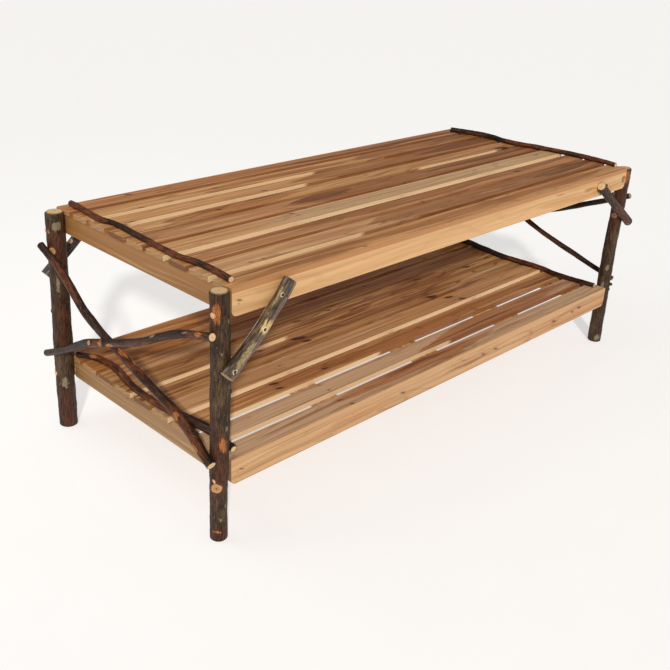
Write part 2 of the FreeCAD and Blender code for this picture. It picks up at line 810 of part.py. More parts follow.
for deck in deck_heights:
    for side_name, face in (("front", -1), ("back", 1)):
        label = "%s_rail_%s" % (deck, side_name)
        drilled(long_rail(label, deck, face), label, all_fasteners)
    for side_name, side in (("left", -1), ("right", 1)):
        label = "%s_rail_%s" % (deck, side_name)
        rail = cross_rail(label, deck, side * end_rail_x, "sizes.rail_thickness")
        drilled(rail, label, all_fasteners)
    for place in batten_place_shares:
        label = "%s_batten_%s" % (deck, place)
        rail = cross_rail(label, deck, batten_x(place), "sizes.batten_thickness")
        drilled(rail, label, all_fasteners)
    for number in range(len(slat_width_shares[deck])):
        label = "%s_slat_%d" % (deck, number + 1)
        drilled(slat(label, deck, number), label, all_fasteners)

doc.recompute()
for item in doc.Objects:
    if "Invalid" in item.State or "Error" in item.State:
        raise ValueError("%s did not rebuild" % item.Label)
for item in subparts:
    if item.Shape.isNull() or not item.Shape.isValid():
        raise ValueError("%s has no sound solid" % item.Label)

os.makedirs("parts", exist_ok=True)
for item in subparts:
    item.Shape.exportStep("parts/%s.step" % item.Label)
print("%d sub-parts written" % len(subparts))
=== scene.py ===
import bisect
import math
from functools import partialmethod

import bpy
from mathutils import Matrix, Vector, noise


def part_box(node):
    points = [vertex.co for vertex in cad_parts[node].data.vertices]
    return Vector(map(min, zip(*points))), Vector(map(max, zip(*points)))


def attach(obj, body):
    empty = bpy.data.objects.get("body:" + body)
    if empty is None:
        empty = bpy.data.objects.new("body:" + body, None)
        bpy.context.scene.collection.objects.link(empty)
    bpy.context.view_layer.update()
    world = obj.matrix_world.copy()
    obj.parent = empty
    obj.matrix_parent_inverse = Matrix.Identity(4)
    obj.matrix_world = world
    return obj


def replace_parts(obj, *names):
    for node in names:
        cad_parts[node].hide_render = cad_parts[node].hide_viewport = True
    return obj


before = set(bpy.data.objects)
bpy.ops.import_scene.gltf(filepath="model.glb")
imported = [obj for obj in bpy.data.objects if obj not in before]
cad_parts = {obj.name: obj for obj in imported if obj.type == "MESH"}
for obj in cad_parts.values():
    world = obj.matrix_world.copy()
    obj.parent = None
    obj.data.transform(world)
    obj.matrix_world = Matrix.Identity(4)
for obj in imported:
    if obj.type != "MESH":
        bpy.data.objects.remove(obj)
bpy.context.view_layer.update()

# The frame's own sizes, in metres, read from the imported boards.

MM = 0.001
TOP_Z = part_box("top_slat_5")[1].z
SHELF_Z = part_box("shelf_slat_5")[1].z
HALF_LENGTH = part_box("top_rail_front")[1].x
HALF_DEPTH = -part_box("top_rail_front")[0].y
SLAT_THICKNESS = 9 * MM
RAIL_TOP = TOP_Z - SLAT_THICKNESS
RAIL_HEIGHT = 39 * MM
RAIL_THICKNESS = 19 * MM
LEG_X = HALF_LENGTH + 15 * MM
LEG_Y = HALF_DEPTH - 13 * MM
LEG_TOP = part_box("leg_front_left")[1].z
LEG_RADIUS = 16 * MM

# Camera: the photograph's place and angle, as a 36 mm frame 670 pixels wide.

IMAGE_PIXELS = 670
FOCAL_PIXELS = 902.0
PRINCIPAL_PIXEL = (310.0, 310.0)
SENSOR_MM = 36.0
CAMERA_AT = Vector((-1.39689, -1.23100, 0.97295))
CAMERA_RIGHT = Vector((0.72123, -0.69166, 0.03783))
CAMERA_DOWN = Vector((-0.25192, -0.31277, -0.91581))


def store(mesh, name, kind, domain, values):
    """An attribute of a mesh, given as one list of numbers."""
    key = "vector" if kind == "FLOAT_VECTOR" else "value"
    mesh.attributes.new(name, kind, domain).data.foreach_set(key, values)


def new_object(name, data):
    made = bpy.data.objects.new(name, data)
    bpy.context.scene.collection.objects.link(made)
    return made


def make_camera():
    data = bpy.data.cameras.new("camera")
    data.sensor_width = SENSOR_MM
    data.lens = SENSOR_MM * FOCAL_PIXELS / IMAGE_PIXELS
    data.shift_x = (IMAGE_PIXELS / 2 - PRINCIPAL_PIXEL[0]) / IMAGE_PIXELS
    data.shift_y = (PRINCIPAL_PIXEL[1] - IMAGE_PIXELS / 2) / IMAGE_PIXELS
    right = CAMERA_RIGHT.normalized()
    up = -CAMERA_DOWN.normalized()
    back = right.cross(up).normalized()
    up = back.cross(right)
    turned = Matrix((right, up, back)).transposed().to_4x4()
    camera = new_object("camera", data)
    camera.matrix_world = Matrix.Translation(CAMERA_AT) @ turned
    bpy.context.scene.camera = camera


# Shader maths: a wrapper for a socket whose operators add Math nodes, and one maker for the other nodes.

class Wire:
    def __init__(self, tree, socket):
        self.tree = tree
        self.socket = socket

    def math(self, operation, *others):
        return self.tree.node("ShaderNodeMath", {"operation": operation}, self, *others)

    def __rsub__(self, other):
        return self.tree.node("ShaderNodeMath", {"operation": "SUBTRACT"}, other, self)

    __add__ = __radd__ = partialmethod(math, "ADD")
    __mul__ = __rmul__ = partialmethod(math, "MULTIPLY")
    __sub__ = partialmethod(math, "SUBTRACT")
    __truediv__ = partialmethod(math, "DIVIDE")
    power = partialmethod(math, "POWER")
    most = partialmethod(math, "MAXIMUM")
    size = partialmethod(math, "ABSOLUTE")
    sine = partialmethod(math, "SINE")

    def ramp(self, low, high):
        """0 up to low, 1 from high on, with a soft slope between."""
        settings = {"interpolation_type": "SMOOTHSTEP"}
        return self.tree.node("ShaderNodeMapRange", settings, self, low, high, 0.0, 1.0)


class Nodes:
    """A node tree and one maker for its nodes."""

    def __init__(self, tree):
        self.nodes = tree.nodes
        self.links = tree.links

    def node(self, kind, settings, *values, output=0, **named):
        made = self.nodes.new(kind)
        for key, value in settings.items():
            setattr(made, key, value)
        for key, value in list(enumerate(values)) + list(named.items()):
            self.feed(made.inputs[key], value)
        return Wire(self, made.outputs[output])

    def feed(self, socket, value):
        if isinstance(value, Wire):
            self.links.new(value.socket, socket)
        elif isinstance(value, tuple) and len(value) == 3 and socket.type == "RGBA":
            socket.default_value = (*value, 1.0)
        else:
            socket.default_value = value


class Tree(Nodes):
    """A material with its shader and the few nodes that its pattern needs."""

    def __init__(self, name):
        self.material = bpy.data.materials.new(name)
        self.material.use_nodes = True
        super().__init__(self.material.node_tree)
        self.shader = self.nodes["Principled BSDF"]
        self.colour = None

    def place(self):
        """Object coordinates in metres, as three wires."""
        return self.split(self.node("ShaderNodeTexCoord", {}, output="Object"))

    def split(self, vector):
        parted = self.node("ShaderNodeSeparateXYZ", {}, vector).socket.node
        return [Wire(self, socket) for socket in parted.outputs]

    def attribute(self, name, output="Fac"):
        return self.node("ShaderNodeAttribute", {"attribute_name": name}, output=output)

    def grain(self, x, y, z, detail=4.0, rough=0.55):
        """Noise from 0 to 1 at a place given in periods along each axis."""
        place = self.node("ShaderNodeCombineXYZ", {}, x, y, z)
        return self.node("ShaderNodeTexNoise", {}, Vector=place, Scale=1.0, Detail=detail, Roughness=rough)

    def mix(self, share, low, high):
        made = self.nodes.new("ShaderNodeMix")
        made.data_type = "RGBA"
        for number, value in ((0, share), (6, low), (7, high)):
            self.feed(made.inputs[number], value)
        return Wire(self, made.outputs[2])

    def lay(self, share, colour):
        """Another colour over the one so far."""
        self.colour = self.mix(share, self.colour, colour)

    def set(self, title, value):
        self.feed(self.shader.inputs[title], value)

    def finish(self, rough, bump=None, bump_mm=0.3, coat=0.0, coat_rough=0.2):
        self.set("Base Color", self.colour)
        self.set("Roughness", rough)
        self.set("Coat Weight", coat)
        self.set("Coat Roughness", coat_rough)
        if bump is not None:
            made = self.node("ShaderNodeBump", {}, Strength=1.0, Distance=bump_mm * MM, Height=bump)
            self.set("Normal", made)
        return self.material


def rgb(red, green, blue):
    """A colour named by its eight-bit screen values, as the linear one that a shader reads."""
    return tuple(((value / 255 + 0.055) / 1.055) ** 2.4 if value > 10 else value / 3294.6
                 for value in (red, green, blue))


# Wood colours, named for what they are on these boards.

CREAM = rgb(246, 218, 176)
TAN = rgb(200, 148, 96)
PALE = rgb(202, 156, 110)
GREIGE = rgb(190, 156, 118)
FAWN = rgb(188, 134, 88)
RUST = rgb(168, 104, 56)
BROWN = rgb(144, 88, 44)
UMBER = rgb(106, 54, 20)
KNOT = rgb(60, 30, 16)
END_GRAIN = rgb(150, 112, 72)
DARK_END = rgb(104, 64, 32)
FRONT_RAIL = rgb(210, 166, 116)
SHELF_RAIL = rgb(194, 152, 108)
END_RAIL = rgb(148, 104, 58)
SHELF_END_RAIL = rgb(152, 117, 76)
ROSE = rgb(206, 170, 136)
GOLD = rgb(186, 138, 86)
AMBER = rgb(182, 124, 68)
EDGE_TAN = rgb(178, 126, 80)
EDGE_CREAM = rgb(232, 200, 156)

# Each board: its base colour, its patches of other wood, its knots, and how strong its figure is.
# A patch is a colour, a middle and half length along, a middle and half width across, all in millimetres.
# A knot is a place along, a place across and a radius, in millimetres.

BOARDS = {
    "top_slat_1": (TAN, [(BROWN, -430, 150, -10, 7), (BROWN, -400, 190, 8, 8), (RUST, -60, 260, 6, 12),
        (RUST, 300, 260, 4, 16), (UMBER, 90, 130, 14, 3)], [(-300, -18, 2), (-100, 6, 1.5)], 0.4),
    "top_slat_2": (PALE, [(FAWN, -310, 130, 4, 14), (BROWN, 260, 470, 6, 75), (UMBER, 480, 160, 8, 16)],
        [(-505, -16, 2), (-478, -15, 1.5)], 0.45),
    "top_slat_3": (FAWN, [(BROWN, 80, 640, 10, 18), (UMBER, -190, 190, 19, 4)],
        [(355, 2, 5), (-10, -19, 2)], 0.4),
    "top_slat_4": (PALE, [(GREIGE, 120, 480, 4, 60), (TAN, -520, 160, 0, 30)],
        [(-275, 18, 3), (-272, 3, 2), (250, 4, 1.5), (530, 4, 3)], 0.25),
    "top_slat_5": (FAWN, [(BROWN, 260, 520, 0, 60), (UMBER, -150, 90, 6, 14), (UMBER, 420, 260, 6, 9)],
        [(-90, -4, 2)], 0.5),
    "top_slat_6": (TAN, [(RUST, -330, 170, 2, 22), (UMBER, -190, 110, 16, 5), (FAWN, 440, 260, 4, 40)],
        [(-370, 4, 4), (520, -16, 11)], 0.6),
    "top_slat_7": (TAN, [(FAWN, -220, 120, -6, 14), (BROWN, 330, 470, 4, 60), (UMBER, 470, 200, 2, 14)],
        [(-538, -22, 5), (-215, -10, 3)], 0.45),
    "top_slat_8": (TAN, [(RUST, -130, 230, 2, 12), (BROWN, 440, 330, 4, 60), (UMBER, 520, 140, 10, 10)],
        [(-478, -20, 3), (-285, 4, 3)], 0.55),
    "top_slat_9": (FAWN, [(RUST, 0, 900, 4, 20), (UMBER, 300, 420, -6, 8)],
        [(-450, 8, 4), (-392, -12, 2)], 0.4),
    "shelf_slat_1": (ROSE, [(RUST, -90, 260, 4, 17), (UMBER, -60, 170, 9, 3), (BROWN, -420, 110, 2, 3),
        (FAWN, 240, 90, -2, 3)], [(-310, -18, 2), (-318, 6, 2)], 0.25),
    "shelf_slat_2": (ROSE, [(RUST, 320, 370, -14, 42), (UMBER, 130, 170, -6, 3), (ROSE, 500, 90, -10, 8)],
        [(-308, 14, 1.5), (-306, -12, 1.5)], 0.22),
    "shelf_slat_3": (TAN, [(RUST, 100, 700, -4, 15), (UMBER, 520, 120, -14, 6), (BROWN, -330, 200, 8, 3)],
        [(-370, 12, 5), (-373, -8, 4), (-250, -4, 4)], 0.5),
    "shelf_slat_4": (PALE, [(TAN, 380, 420, 2, 40)], [(240, 10, 6), (260, -16, 5), (-310, 2, 1.5)], 0.35),
    "shelf_slat_5": (GOLD, [(BROWN, -60, 420, 4, 11), (UMBER, -190, 90, 4, 4), (UMBER, 60, 120, 12, 2.5),
        (PALE, 380, 240, -12, 7)], [(-195, 12, 9), (-190, -8, 6), (210, -20, 8)], 0.9),
    "shelf_slat_6": (GOLD, [(BROWN, 180, 420, -4, 15), (UMBER, 260, 90, 16, 5), (UMBER, 430, 70, -8, 5),
        (UMBER, -80, 150, 8, 2.5)], [(268, 14, 6), (440, -10, 6), (-40, 18, 4)], 0.9),
    "shelf_slat_7": (GOLD, [(RUST, 120, 560, 6, 12), (PALE, -400, 200, -10, 12)],
        [(-240, -12, 4), (130, 8, 3)], 0.7),
    "shelf_slat_8": (AMBER, [(BROWN, 0, 700, -4, 9), (PALE, -430, 160, 14, 5)], [(60, 2, 4)], 0.6),
    "shelf_slat_9": (AMBER, [(RUST, 150, 600, 2, 12), (PALE, -480, 160, -6, 6)], [(-60, -6, 3)], 0.5),
    "top_rail_front": (FRONT_RAIL, [(TAN, 400, 180, -4, 9), (BROWN, 325, 26, 12, 1.6),
        (BROWN, 440, 24, 8, 1.6), (UMBER, 590, 9, 0, 8)], [(-585, 5, 2.2)], 0.1),
    "top_rail_back": (TAN, [(FAWN, -100, 500, 2, 12)], [(200, 5, 4)], 0.4),
    "shelf_rail_front": (SHELF_RAIL, [(FAWN, -280, 90, 2, 5), (BROWN, 60, 90, 4, 3),
        (FAWN, 440, 200, -2, 12)],
        [(-578, 4, 2), (-168, 3, 3), (96, 4, 3), (140, 3, 3), (372, 2, 4), (452, 4, 3), (480, 8, 4)], 0.3),
    "shelf_rail_back": (TAN, [(BROWN, 200, 420, 0, 10)], [(-330, 4, 4)], 0.5),
    "top_rail_left": (END_RAIL, [], [], 0.12),
    "top_rail_right": (END_RAIL, [(BROWN, 0, 160, 2, 8)], [(-80, 5, 2)], 0.35),
    "shelf_rail_left": (SHELF_END_RAIL, [(BROWN, 40, 60, 14, 3)],
        [(158, 15, 1.6), (148, 9, 1.2), (51, 11, 1.4)], 0.2),
    "shelf_rail_right": (END_RAIL, [(BROWN, 30, 150, 3, 7)], [(-120, 2, 3)], 0.5),
}

# Where a slat's front edge shows pale sapwood, from one place along to another, in millimetres.
CREAM_EDGES = {
    "top_slat_2": (-620, -240), "top_slat_4": (-620, 620), "top_slat_6": (180, 500),
    "top_slat_7": (-560, -100), "top_slat_8": (-600, -20), "shelf_slat_2": (-620, 60),
    "shelf_slat_3": (-620, -100), "shelf_slat_4": (-620, 620), "shelf_slat_6": (-620, -200),
}

FRONT_EDGES = {"top_slat_1": EDGE_TAN, "shelf_slat_1": SHELF_RAIL}
DARK_ENDS = ("top_slat_3", "top_slat_6", "shelf_slat_5", "shelf_slat_7")
SHADE_POWERS = (0.8, 1.0, 1.2)
SEED_SHIFT = 3.7
GRAIN_WANDER = 24 * MM
PATCH_BLUR = 1.6 * MM
PATCH_COVER = 0.74
OUTLINE_COVER = 0.3
CREAM_FADE = 20 * MM


def shade_of(colour, share):
    """A darker shade is also a redder one, and a lighter shade a paler one."""
    return tuple(min(1.0, part * share ** power) for part, power in zip(colour, SHADE_POWERS))


def board_wood(label, base, patches, knots, figure, seed):
    """Sawn, planed wood: fibre, growth bands, patches of heartwood and knots, under a clear coat."""
    tree = Tree(label + "_wood")
    place = tree.place()
    low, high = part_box(label)
    middle = (low + high) / 2
    cross = "batten" in label or label.endswith(("rail_left", "rail_right"))
    flat = "slat" in label
    along = place[1] if cross else place[0]
    across_axis = 1 if flat else 2
    depth_axis = 2 if flat else (0 if cross else 1)
    across = place[across_axis] - middle[across_axis]
    depth = place[depth_axis] - middle[depth_axis]
    shifted = along + seed * SEED_SHIFT
    drift = tree.grain(shifted * 2.4, across * 12.0, depth * 12.0, detail=2.0) - 0.5
    warped = across + drift * GRAIN_WANDER
    fibre = tree.grain(shifted * 9.0, warped * 620.0, depth * 620.0, detail=3.0)
    bands = tree.grain(shifted * 1.5, warped * 130.0, depth * 90.0, detail=5.0, rough=0.68)
    streaks = tree.grain(shifted * 3.4 + 5.0, warped * 240.0, depth * 160.0, detail=3.0, rough=0.6)
    slow = tree.grain(shifted * 3.0, across * 16.0, depth * 16.0, detail=2.0)
    contrast = 0.14 + 0.4 * figure
    grown = bands.ramp(0.34, 0.66)
    tree.colour = tree.mix(grown, shade_of(base, 1 - contrast), shade_of(base, 1 + 0.5 * contrast))
    for patch, at, half, offset, width in patches:
        reach = (along - at * MM) / (half * MM)
        ragged = drift * 0.04 + (streaks - 0.5) * 0.024
        inside = (1.0 - reach * reach) * (width * MM) - (across - offset * MM + ragged).size()
        shade = inside.ramp(-PATCH_BLUR, PATCH_BLUR)
        outline = (1.0 - (inside * 700.0).size()).most(0.0)
        tree.lay(shade * PATCH_COVER, tree.mix(grown, shade_of(patch, 0.74), shade_of(patch, 1.2)))
        tree.lay(outline * OUTLINE_COVER, shade_of(patch, 0.5))
    contour = tree.grain(shifted * 3.2, warped * 26.0, depth * 26.0, detail=1.0) * 34.0
    line = contour.sine().ramp(0.8, 0.96) * slow.ramp(0.4, 0.52)
    tree.lay(line * (0.8 * figure), UMBER)
    tree.lay(streaks.ramp(0.55, 0.64) * (0.06 + 0.8 * figure), shade_of(BROWN, 0.7))
    tree.lay(streaks.ramp(0.43, 0.3) * (0.1 + 0.5 * figure), CREAM)
    tree.lay(fibre.ramp(0.56, 0.76) * (0.1 + 0.5 * figure), UMBER)
    for at, offset, radius in knots:
        near_x = (along - at * MM + (bands - 0.5) * (radius * 3 * MM)) / (radius * 2.1 * MM)
        near_y = (across - offset * MM + drift * 0.004 + (along - at * MM) * 0.25) / (radius * 0.7 * MM)
        off = near_x * near_x + near_y * near_y
        tree.lay((off * 0.16).ramp(1.0, 0.0) * 0.35, BROWN)
        tree.lay(off.ramp(1.5, 0.5) * (1.0 if flat else 0.65), KNOT)
    normal = tree.split(tree.node("ShaderNodeNewGeometry", {}, output="Normal"))
    side = (0.0 - normal[1]).ramp(0.35, 0.6)
    if label in FRONT_EDGES:
        tree.lay(side, FRONT_EDGES[label])
    elif flat:
        # Painted shade: the front faces of the other slats, seen down in the gaps between them, are darkened
        # with umber.
        tree.lay(side * 0.6, UMBER)
    if label in CREAM_EDGES:
        start, end = (value * MM for value in CREAM_EDGES[label])
        inside = along.ramp(start, start + CREAM_FADE) * along.ramp(end, end - CREAM_FADE)
        tree.lay(side * inside * 0.85, EDGE_CREAM)
    ends = normal[1 if cross else 0].size().ramp(0.6, 0.8)
    ring = ((depth * 900.0 + across * 260.0 + drift * 9.0).sine() * 0.5 + 0.5) * fibre
    end_colour = DARK_END if label in DARK_ENDS else END_GRAIN
    tree.lay(ends, tree.mix(ring, end_colour, shade_of(end_colour, 1.5)))
    rough = fibre * 0.16 + 0.4
    tree.set("Specular IOR Level", 0.25)
    return tree.finish(rough, bump=fibre * 0.6 + bands * 0.4, bump_mm=0.16, coat=0.06, coat_rough=0.3)


def dress_boards():
    for number, (label, row) in enumerate(BOARDS.items(), start=1):
        set_material(label, board_wood(label, *row, number))
    battens = sorted(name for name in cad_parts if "batten" in name)
    for number, label in enumerate(battens, start=40):
        set_material(label, board_wood(label, TAN, [(FAWN, 0, 150, 3, 8)], [], 0.4, number))


def set_material(label, material):
    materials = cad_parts[label].data.materials
    materials.clear()
    materials.append(material)


def nail_steel():
    tree = Tree("nail_steel")
    x, y, z = tree.place()
    spots = tree.grain(x * 900.0, y * 900.0, z * 900.0, detail=2.0)
    tree.set("Metallic", 0.7)
    tree.colour = tree.mix(spots.ramp(0.4, 0.7), rgb(58, 44, 36), rgb(104, 92, 82))
    return tree.finish(spots * 0.3 + 0.35)


# Grown pieces: bark stems along smooth routes, with swellings, knots and cut ends.

AXES = (Vector((1, 0, 0)), Vector((0, 1, 0)), Vector((0, 0, 1)))
STEP = 1.8 * MM
RIM = 0.3 * MM
CUT_BEVEL = 0.6 * MM
BARK_BITE = 0.8 * MM
CUT_FADE = 4 * MM
CUT_RINGS = (0.8, 0.5, 0.2)
KNOT_SLOPE = (2.2, 0.8)

# Ridges in a metre round a stem and along it, and lumps round it and in a metre along it.
RIDGES_ROUND = 300
RIDGES_ALONG = 34
LUMPS_ROUND = 1.2
LUMPS_ALONG = 24

# What marks a stem's bark: knots, stripped places, lichen, red-brown places and dark holes in a pale rim.
# A mark is a share along the stem, a turn in degrees, half its length and width and, if it stands out, its
# height in millimetres. A turn goes from straight up towards the left, unless a table says another way.
# A stub of a pruned twig is a share, a turn, its radius and its length.
MARKS = ("knot", "bare", "lichen", "warm", "hole")


def lerp(low, high, share):
    return low + (high - low) * share


def smooth(low, high, value):
    share = min(max((value - low) / (high - low), 0.0), 1.0)
    return share * share * (3 - 2 * share)


class Route:
    """A smooth line through points, each with a radius, read by the length along it."""

    def __init__(self, points, radii):
        self.run = points[-1] - points[0]
        self.places = [points[0]]
        self.radii = [radii[0]]
        self.lengths = [0.0]
        for number in range(len(points) - 1):
            start, end = points[number], points[number + 1]
            leave = (end - points[max(number - 1, 0)]) / 2
            arrive = (points[min(number + 2, len(points) - 1)] - start) / 2
            count = max(4, round((end - start).length / STEP))
            for step in range(1, count + 1):
                t = step / count
                place = start * (2 * t ** 3 - 3 * t ** 2 + 1) + leave * (t ** 3 - 2 * t ** 2 + t)
                place += end * (3 * t ** 2 - 2 * t ** 3) + arrive * (t ** 3 - t ** 2)
                self.lengths.append(self.lengths[-1] + (place - self.places[-1]).length)
                self.places.append(place)
                self.radii.append(lerp(radii[number], radii[number + 1], t * t * (3 - 2 * t)))
        self.length = self.lengths[-1]

    def at(self, length):
        """The place, radius and direction at a length along the route."""
        number = min(max(bisect.bisect_right(self.lengths, length), 1), len(self.lengths) - 1)
        low, high = self.lengths[number - 1], self.lengths[number]
        share = (length - low) / (high - low)
        before = self.places[max(number - 2, 0)]
        after = self.places[min(number + 1, len(self.places) - 1)]
        place = self.places[number - 1].lerp(self.places[number], share)
        return place, lerp(self.radii[number - 1], self.radii[number], share), (after - before).normalized()

    def where(self, axis, value):
        """The length at which one coordinate of the route first has the value."""
        for number in range(1, len(self.places)):
            low, high = sorted((self.places[number - 1][axis], self.places[number][axis]))
            if low <= value <= high:
                return self.lengths[number]
        return self.length


class Stem:
    """A mesh in the making: rings of bark closed by bare ends, with what its material reads."""

    def __init__(self, name, seed, sides, rough_mm, lump_mm):
        self.name = name
        self.seed = seed
        self.sides = sides
        self.rough = rough_mm * MM
        self.lump = lump_mm * MM
        self.points = []
        self.faces = []
        self.sharp = set()
        self.bark = []
        self.values = {name: [] for name in ("cut", "aged", "girth") + MARKS}

    def put(self, point, bark, **values):
        self.points.append(point)
        self.bark.append(bark)
        for name, listed in self.values.items():
            listed.append(values.get(name, 0.0))

    def relief(self, turned, length, radius):
        """How far the bark stands out from an even round stem."""
        flow = Vector((turned.x * radius * RIDGES_ROUND, turned.y * radius * RIDGES_ROUND,
                       length * RIDGES_ALONG + self.seed * 9))
        ridge = noise.fractal(flow, 0.9, 2.1, 3)
        lumps = noise.noise(Vector((turned.x * LUMPS_ROUND, turned.y * LUMPS_ROUND,
                                    length * LUMPS_ALONG + self.seed * 5)))
        return self.rough * ridge + self.lump * lumps

    def grow(self, route, marks=(), bevels=(CUT_BEVEL, CUT_BEVEL), upright=False, aged=(0.0, 0.0)):
        """Rings along a route. Each mark spreads round its own spot, and a knot stands out too."""
        reference = min(AXES, key=lambda axis: abs(route.run.dot(axis)))
        head, foot = bevels
        first, last = head + RIM, route.length - foot - RIM
        count = max(2, round((last - first) / STEP))
        middle = [lerp(first, last, step / count) for step in range(count + 1)]
        lengths = [0.0, head] + middle + [route.length - foot, route.length]
        start = len(self.points)
        for length in lengths:
            place, radius, direction = route.at(length)
            if upright:
                direction = AXES[2]
            across = direction.cross(reference).normalized()
            other = direction.cross(across)
            ends = min(length / head, (route.length - length) / foot, 1.0)
            near_head = length < route.length / 2
            trim = (head if near_head else foot) * (1.0 - ends)
            fade = smooth(0.0, CUT_FADE, min(length, route.length - length))
            for side in range(self.sides):
                angle = 2 * math.pi * side / self.sides
                turned = Vector((math.cos(angle), math.sin(angle), 0))
                outward = across * turned.x + other * turned.y
                values = dict.fromkeys(MARKS, 0.0)
                raised = 0.0
                for kind, spot, way, half_length, half_width, height in marks:
                    gap = place + outward * radius - spot
                    along = gap.dot(way)
                    off = math.hypot(along / half_length, (gap - way * along).length / half_width)
                    values[kind] = max(values[kind], 1.0 - off / 2)
                    raised = max(raised, height * smooth(*KNOT_SLOPE, off))
                reach = radius - trim + self.relief(turned, length, radius) * fade + raised
                self.put(place + outward * reach, (turned.x * radius, turned.y * radius, length + self.seed),
                         cut=float(ends < 0.99), aged=aged[0 if near_head else 1], girth=radius, **values)
        for ring in range(len(lengths) - 1):
            self.band(start + ring * self.sides, start + (ring + 1) * self.sides)
        self.close(start, route.at(0.0)[0], False)
        self.close(start + (len(lengths) - 1) * self.sides, route.at(route.length)[0], True)

    def band(self, low, high, turned=False):
        for side in range(self.sides):
            beside = (side + 1) % self.sides
            quad = (low + side, high + side, high + beside, low + beside)
            self.faces.append(quad[::-1] if turned else quad)

    def close(self, rim, centre, forward):
        """A bare cut end, in rings from the bark to the heart."""
        aged, girth = self.values["aged"][rim], self.values["girth"][rim]
        inner = rim
        for share in CUT_RINGS:
            start = len(self.points)
            for side in range(self.sides):
                bark = self.bark[rim + side]
                self.put(centre + (self.points[rim + side] - centre) * share,
                         (bark[0] * share, bark[1] * share, bark[2]), cut=1.0, aged=aged, girth=girth)
            self.band(inner, start, turned=not forward)
            inner = start
        heart = len(self.points)
        self.put(centre.copy(), (0.0, 0.0, self.bark[rim][2]), cut=1.0, aged=aged, girth=girth)
        for side in range(self.sides):
            beside = (side + 1) % self.sides
            corner = (inner + side, heart, inner + beside)
            self.faces.append(corner if forward else corner[::-1])
            self.sharp.add(tuple(sorted((rim + side, rim + beside))))

    def piece(self, material, floor=None):
        if floor is not None:
            for point in self.points:
                point.z = max(point.z, floor)
        mesh = bpy.data.meshes.new(self.name)
        mesh.from_pydata(self.points, [], self.faces)
        mesh.update()
        for name, values in self.values.items():
            store(mesh, name, "FLOAT", "POINT", values)
        store(mesh, "bark", "FLOAT_VECTOR", "POINT", [part for bark in self.bark for part in bark])
        mesh.shade_smooth()
        sharp = [tuple(sorted(edge.vertices)) in self.sharp for edge in mesh.edges]
        store(mesh, "sharp_edge", "BOOLEAN", "EDGE", sharp)
        made = new_object(self.name, mesh)
        made.data.materials.append(material)
        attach(made, "root")
        return made


# Fasteners: a shank and a domed head on every point, set by Geometry Nodes.

NAIL_GAUGE = 2.2 * MM
BRAD_GAUGE = 1.4 * MM
NAIL_PROUD = 0.4 * MM
BRANCH_GRIP = 22 * MM
CROSSING_SHARES = {-1: 0.135, 1: 0.115}
TRIM_NAIL_SLATS = (2, 5, 8)
TWIG_GRIP = 6 * MM
NAIL_HEAD_SHARE = 0.9
NAIL_DOME_SHARE = 0.35
FASTENER_SHARP_ANGLE = math.radians(40)
FASTENER_VALUES = ("aim", "shank", "head")


def fastener_group(sides, material):
    group = bpy.data.node_groups.new("fasteners", "GeometryNodeTree")
    for title, way in (("Points", "INPUT"), ("Geometry", "OUTPUT")):
        group.interface.new_socket(title, in_out=way, socket_type="NodeSocketGeometry")
    tree = Nodes(group)
    points = tree.node("NodeGroupInput", {})
    aim, *sizes = (tree.node("GeometryNodeInputNamedAttribute", {"data_type": "FLOAT_VECTOR"}, Name=key)
                   for key in FASTENER_VALUES)
    turned = tree.node("FunctionNodeAlignRotationToVector", {"axis": "Z"}, Vector=aim)
    shank = tree.node("GeometryNodeMeshCylinder", {}, Vertices=sides, Radius=1.0, Depth=1.0)
    shank = tree.node("GeometryNodeTransform", {}, Geometry=shank, Translation=(0, 0, 0.5))
    head = tree.node("GeometryNodeMeshUVSphere", {}, Segments=sides, Rings=10, Radius=1.0)
    both = group.nodes.new("GeometryNodeJoinGeometry")
    for shape, size in zip((shank, head), sizes):
        placed = tree.node("GeometryNodeInstanceOnPoints", {}, Points=points, Instance=shape,
                           Rotation=turned, Scale=size)
        tree.feed(both.inputs[0], placed)
    real = tree.node("GeometryNodeRealizeInstances", {}, Geometry=Wire(tree, both.outputs[0]))
    dressed = tree.node("GeometryNodeSetMaterial", {}, Geometry=real, Material=material)
    tree.feed(group.nodes.new("NodeGroupOutput").inputs[0], dressed)
    return group


def drive(name, rows, material, replaced, sides=16):
    """One piece of fasteners. A row is a head's place, its aim, and the shank's and the head's sizes."""
    mesh = bpy.data.meshes.new(name)
    mesh.from_pydata([row[0] for row in rows], [], [])
    for column, key in enumerate(FASTENER_VALUES, start=1):
        store(mesh, key, "FLOAT_VECTOR", "POINT", [part for row in rows for part in row[column]])
    made = new_object(name, mesh)
    made.modifiers.new("fasteners", "NODES").node_group = fastener_group(sides, material)
    shaped = bpy.data.meshes.new_from_object(made.evaluated_get(bpy.context.evaluated_depsgraph_get()))
    made.modifiers.clear()
    made.data = shaped
    shaped.shade_smooth()
    shaped.set_sharp_from_angle(angle=FASTENER_SHARP_ANGLE)
    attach(made, "root")
    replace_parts(made, replaced)


def nail_through(route, axis, value, aim, grip, gauge=NAIL_GAUGE):
    """A nail driven square through a branch where its route has the value."""
    centre, radius, direction = route.at(route.where(axis, value))
    head = centre - aim * (radius + NAIL_PROUD)
    reach = 2 * radius + NAIL_PROUD + grip
    width = gauge * NAIL_HEAD_SHARE
    return head, aim, (gauge / 2, gauge / 2, reach), (width, width, gauge * NAIL_DOME_SHARE)


# Legs: upright stems, each with its own girth, sway, knots and stripped places.

LEG_STATIONS = (0.0, 0.2, 0.34, 0.5, 0.66, 0.8, 1.0)

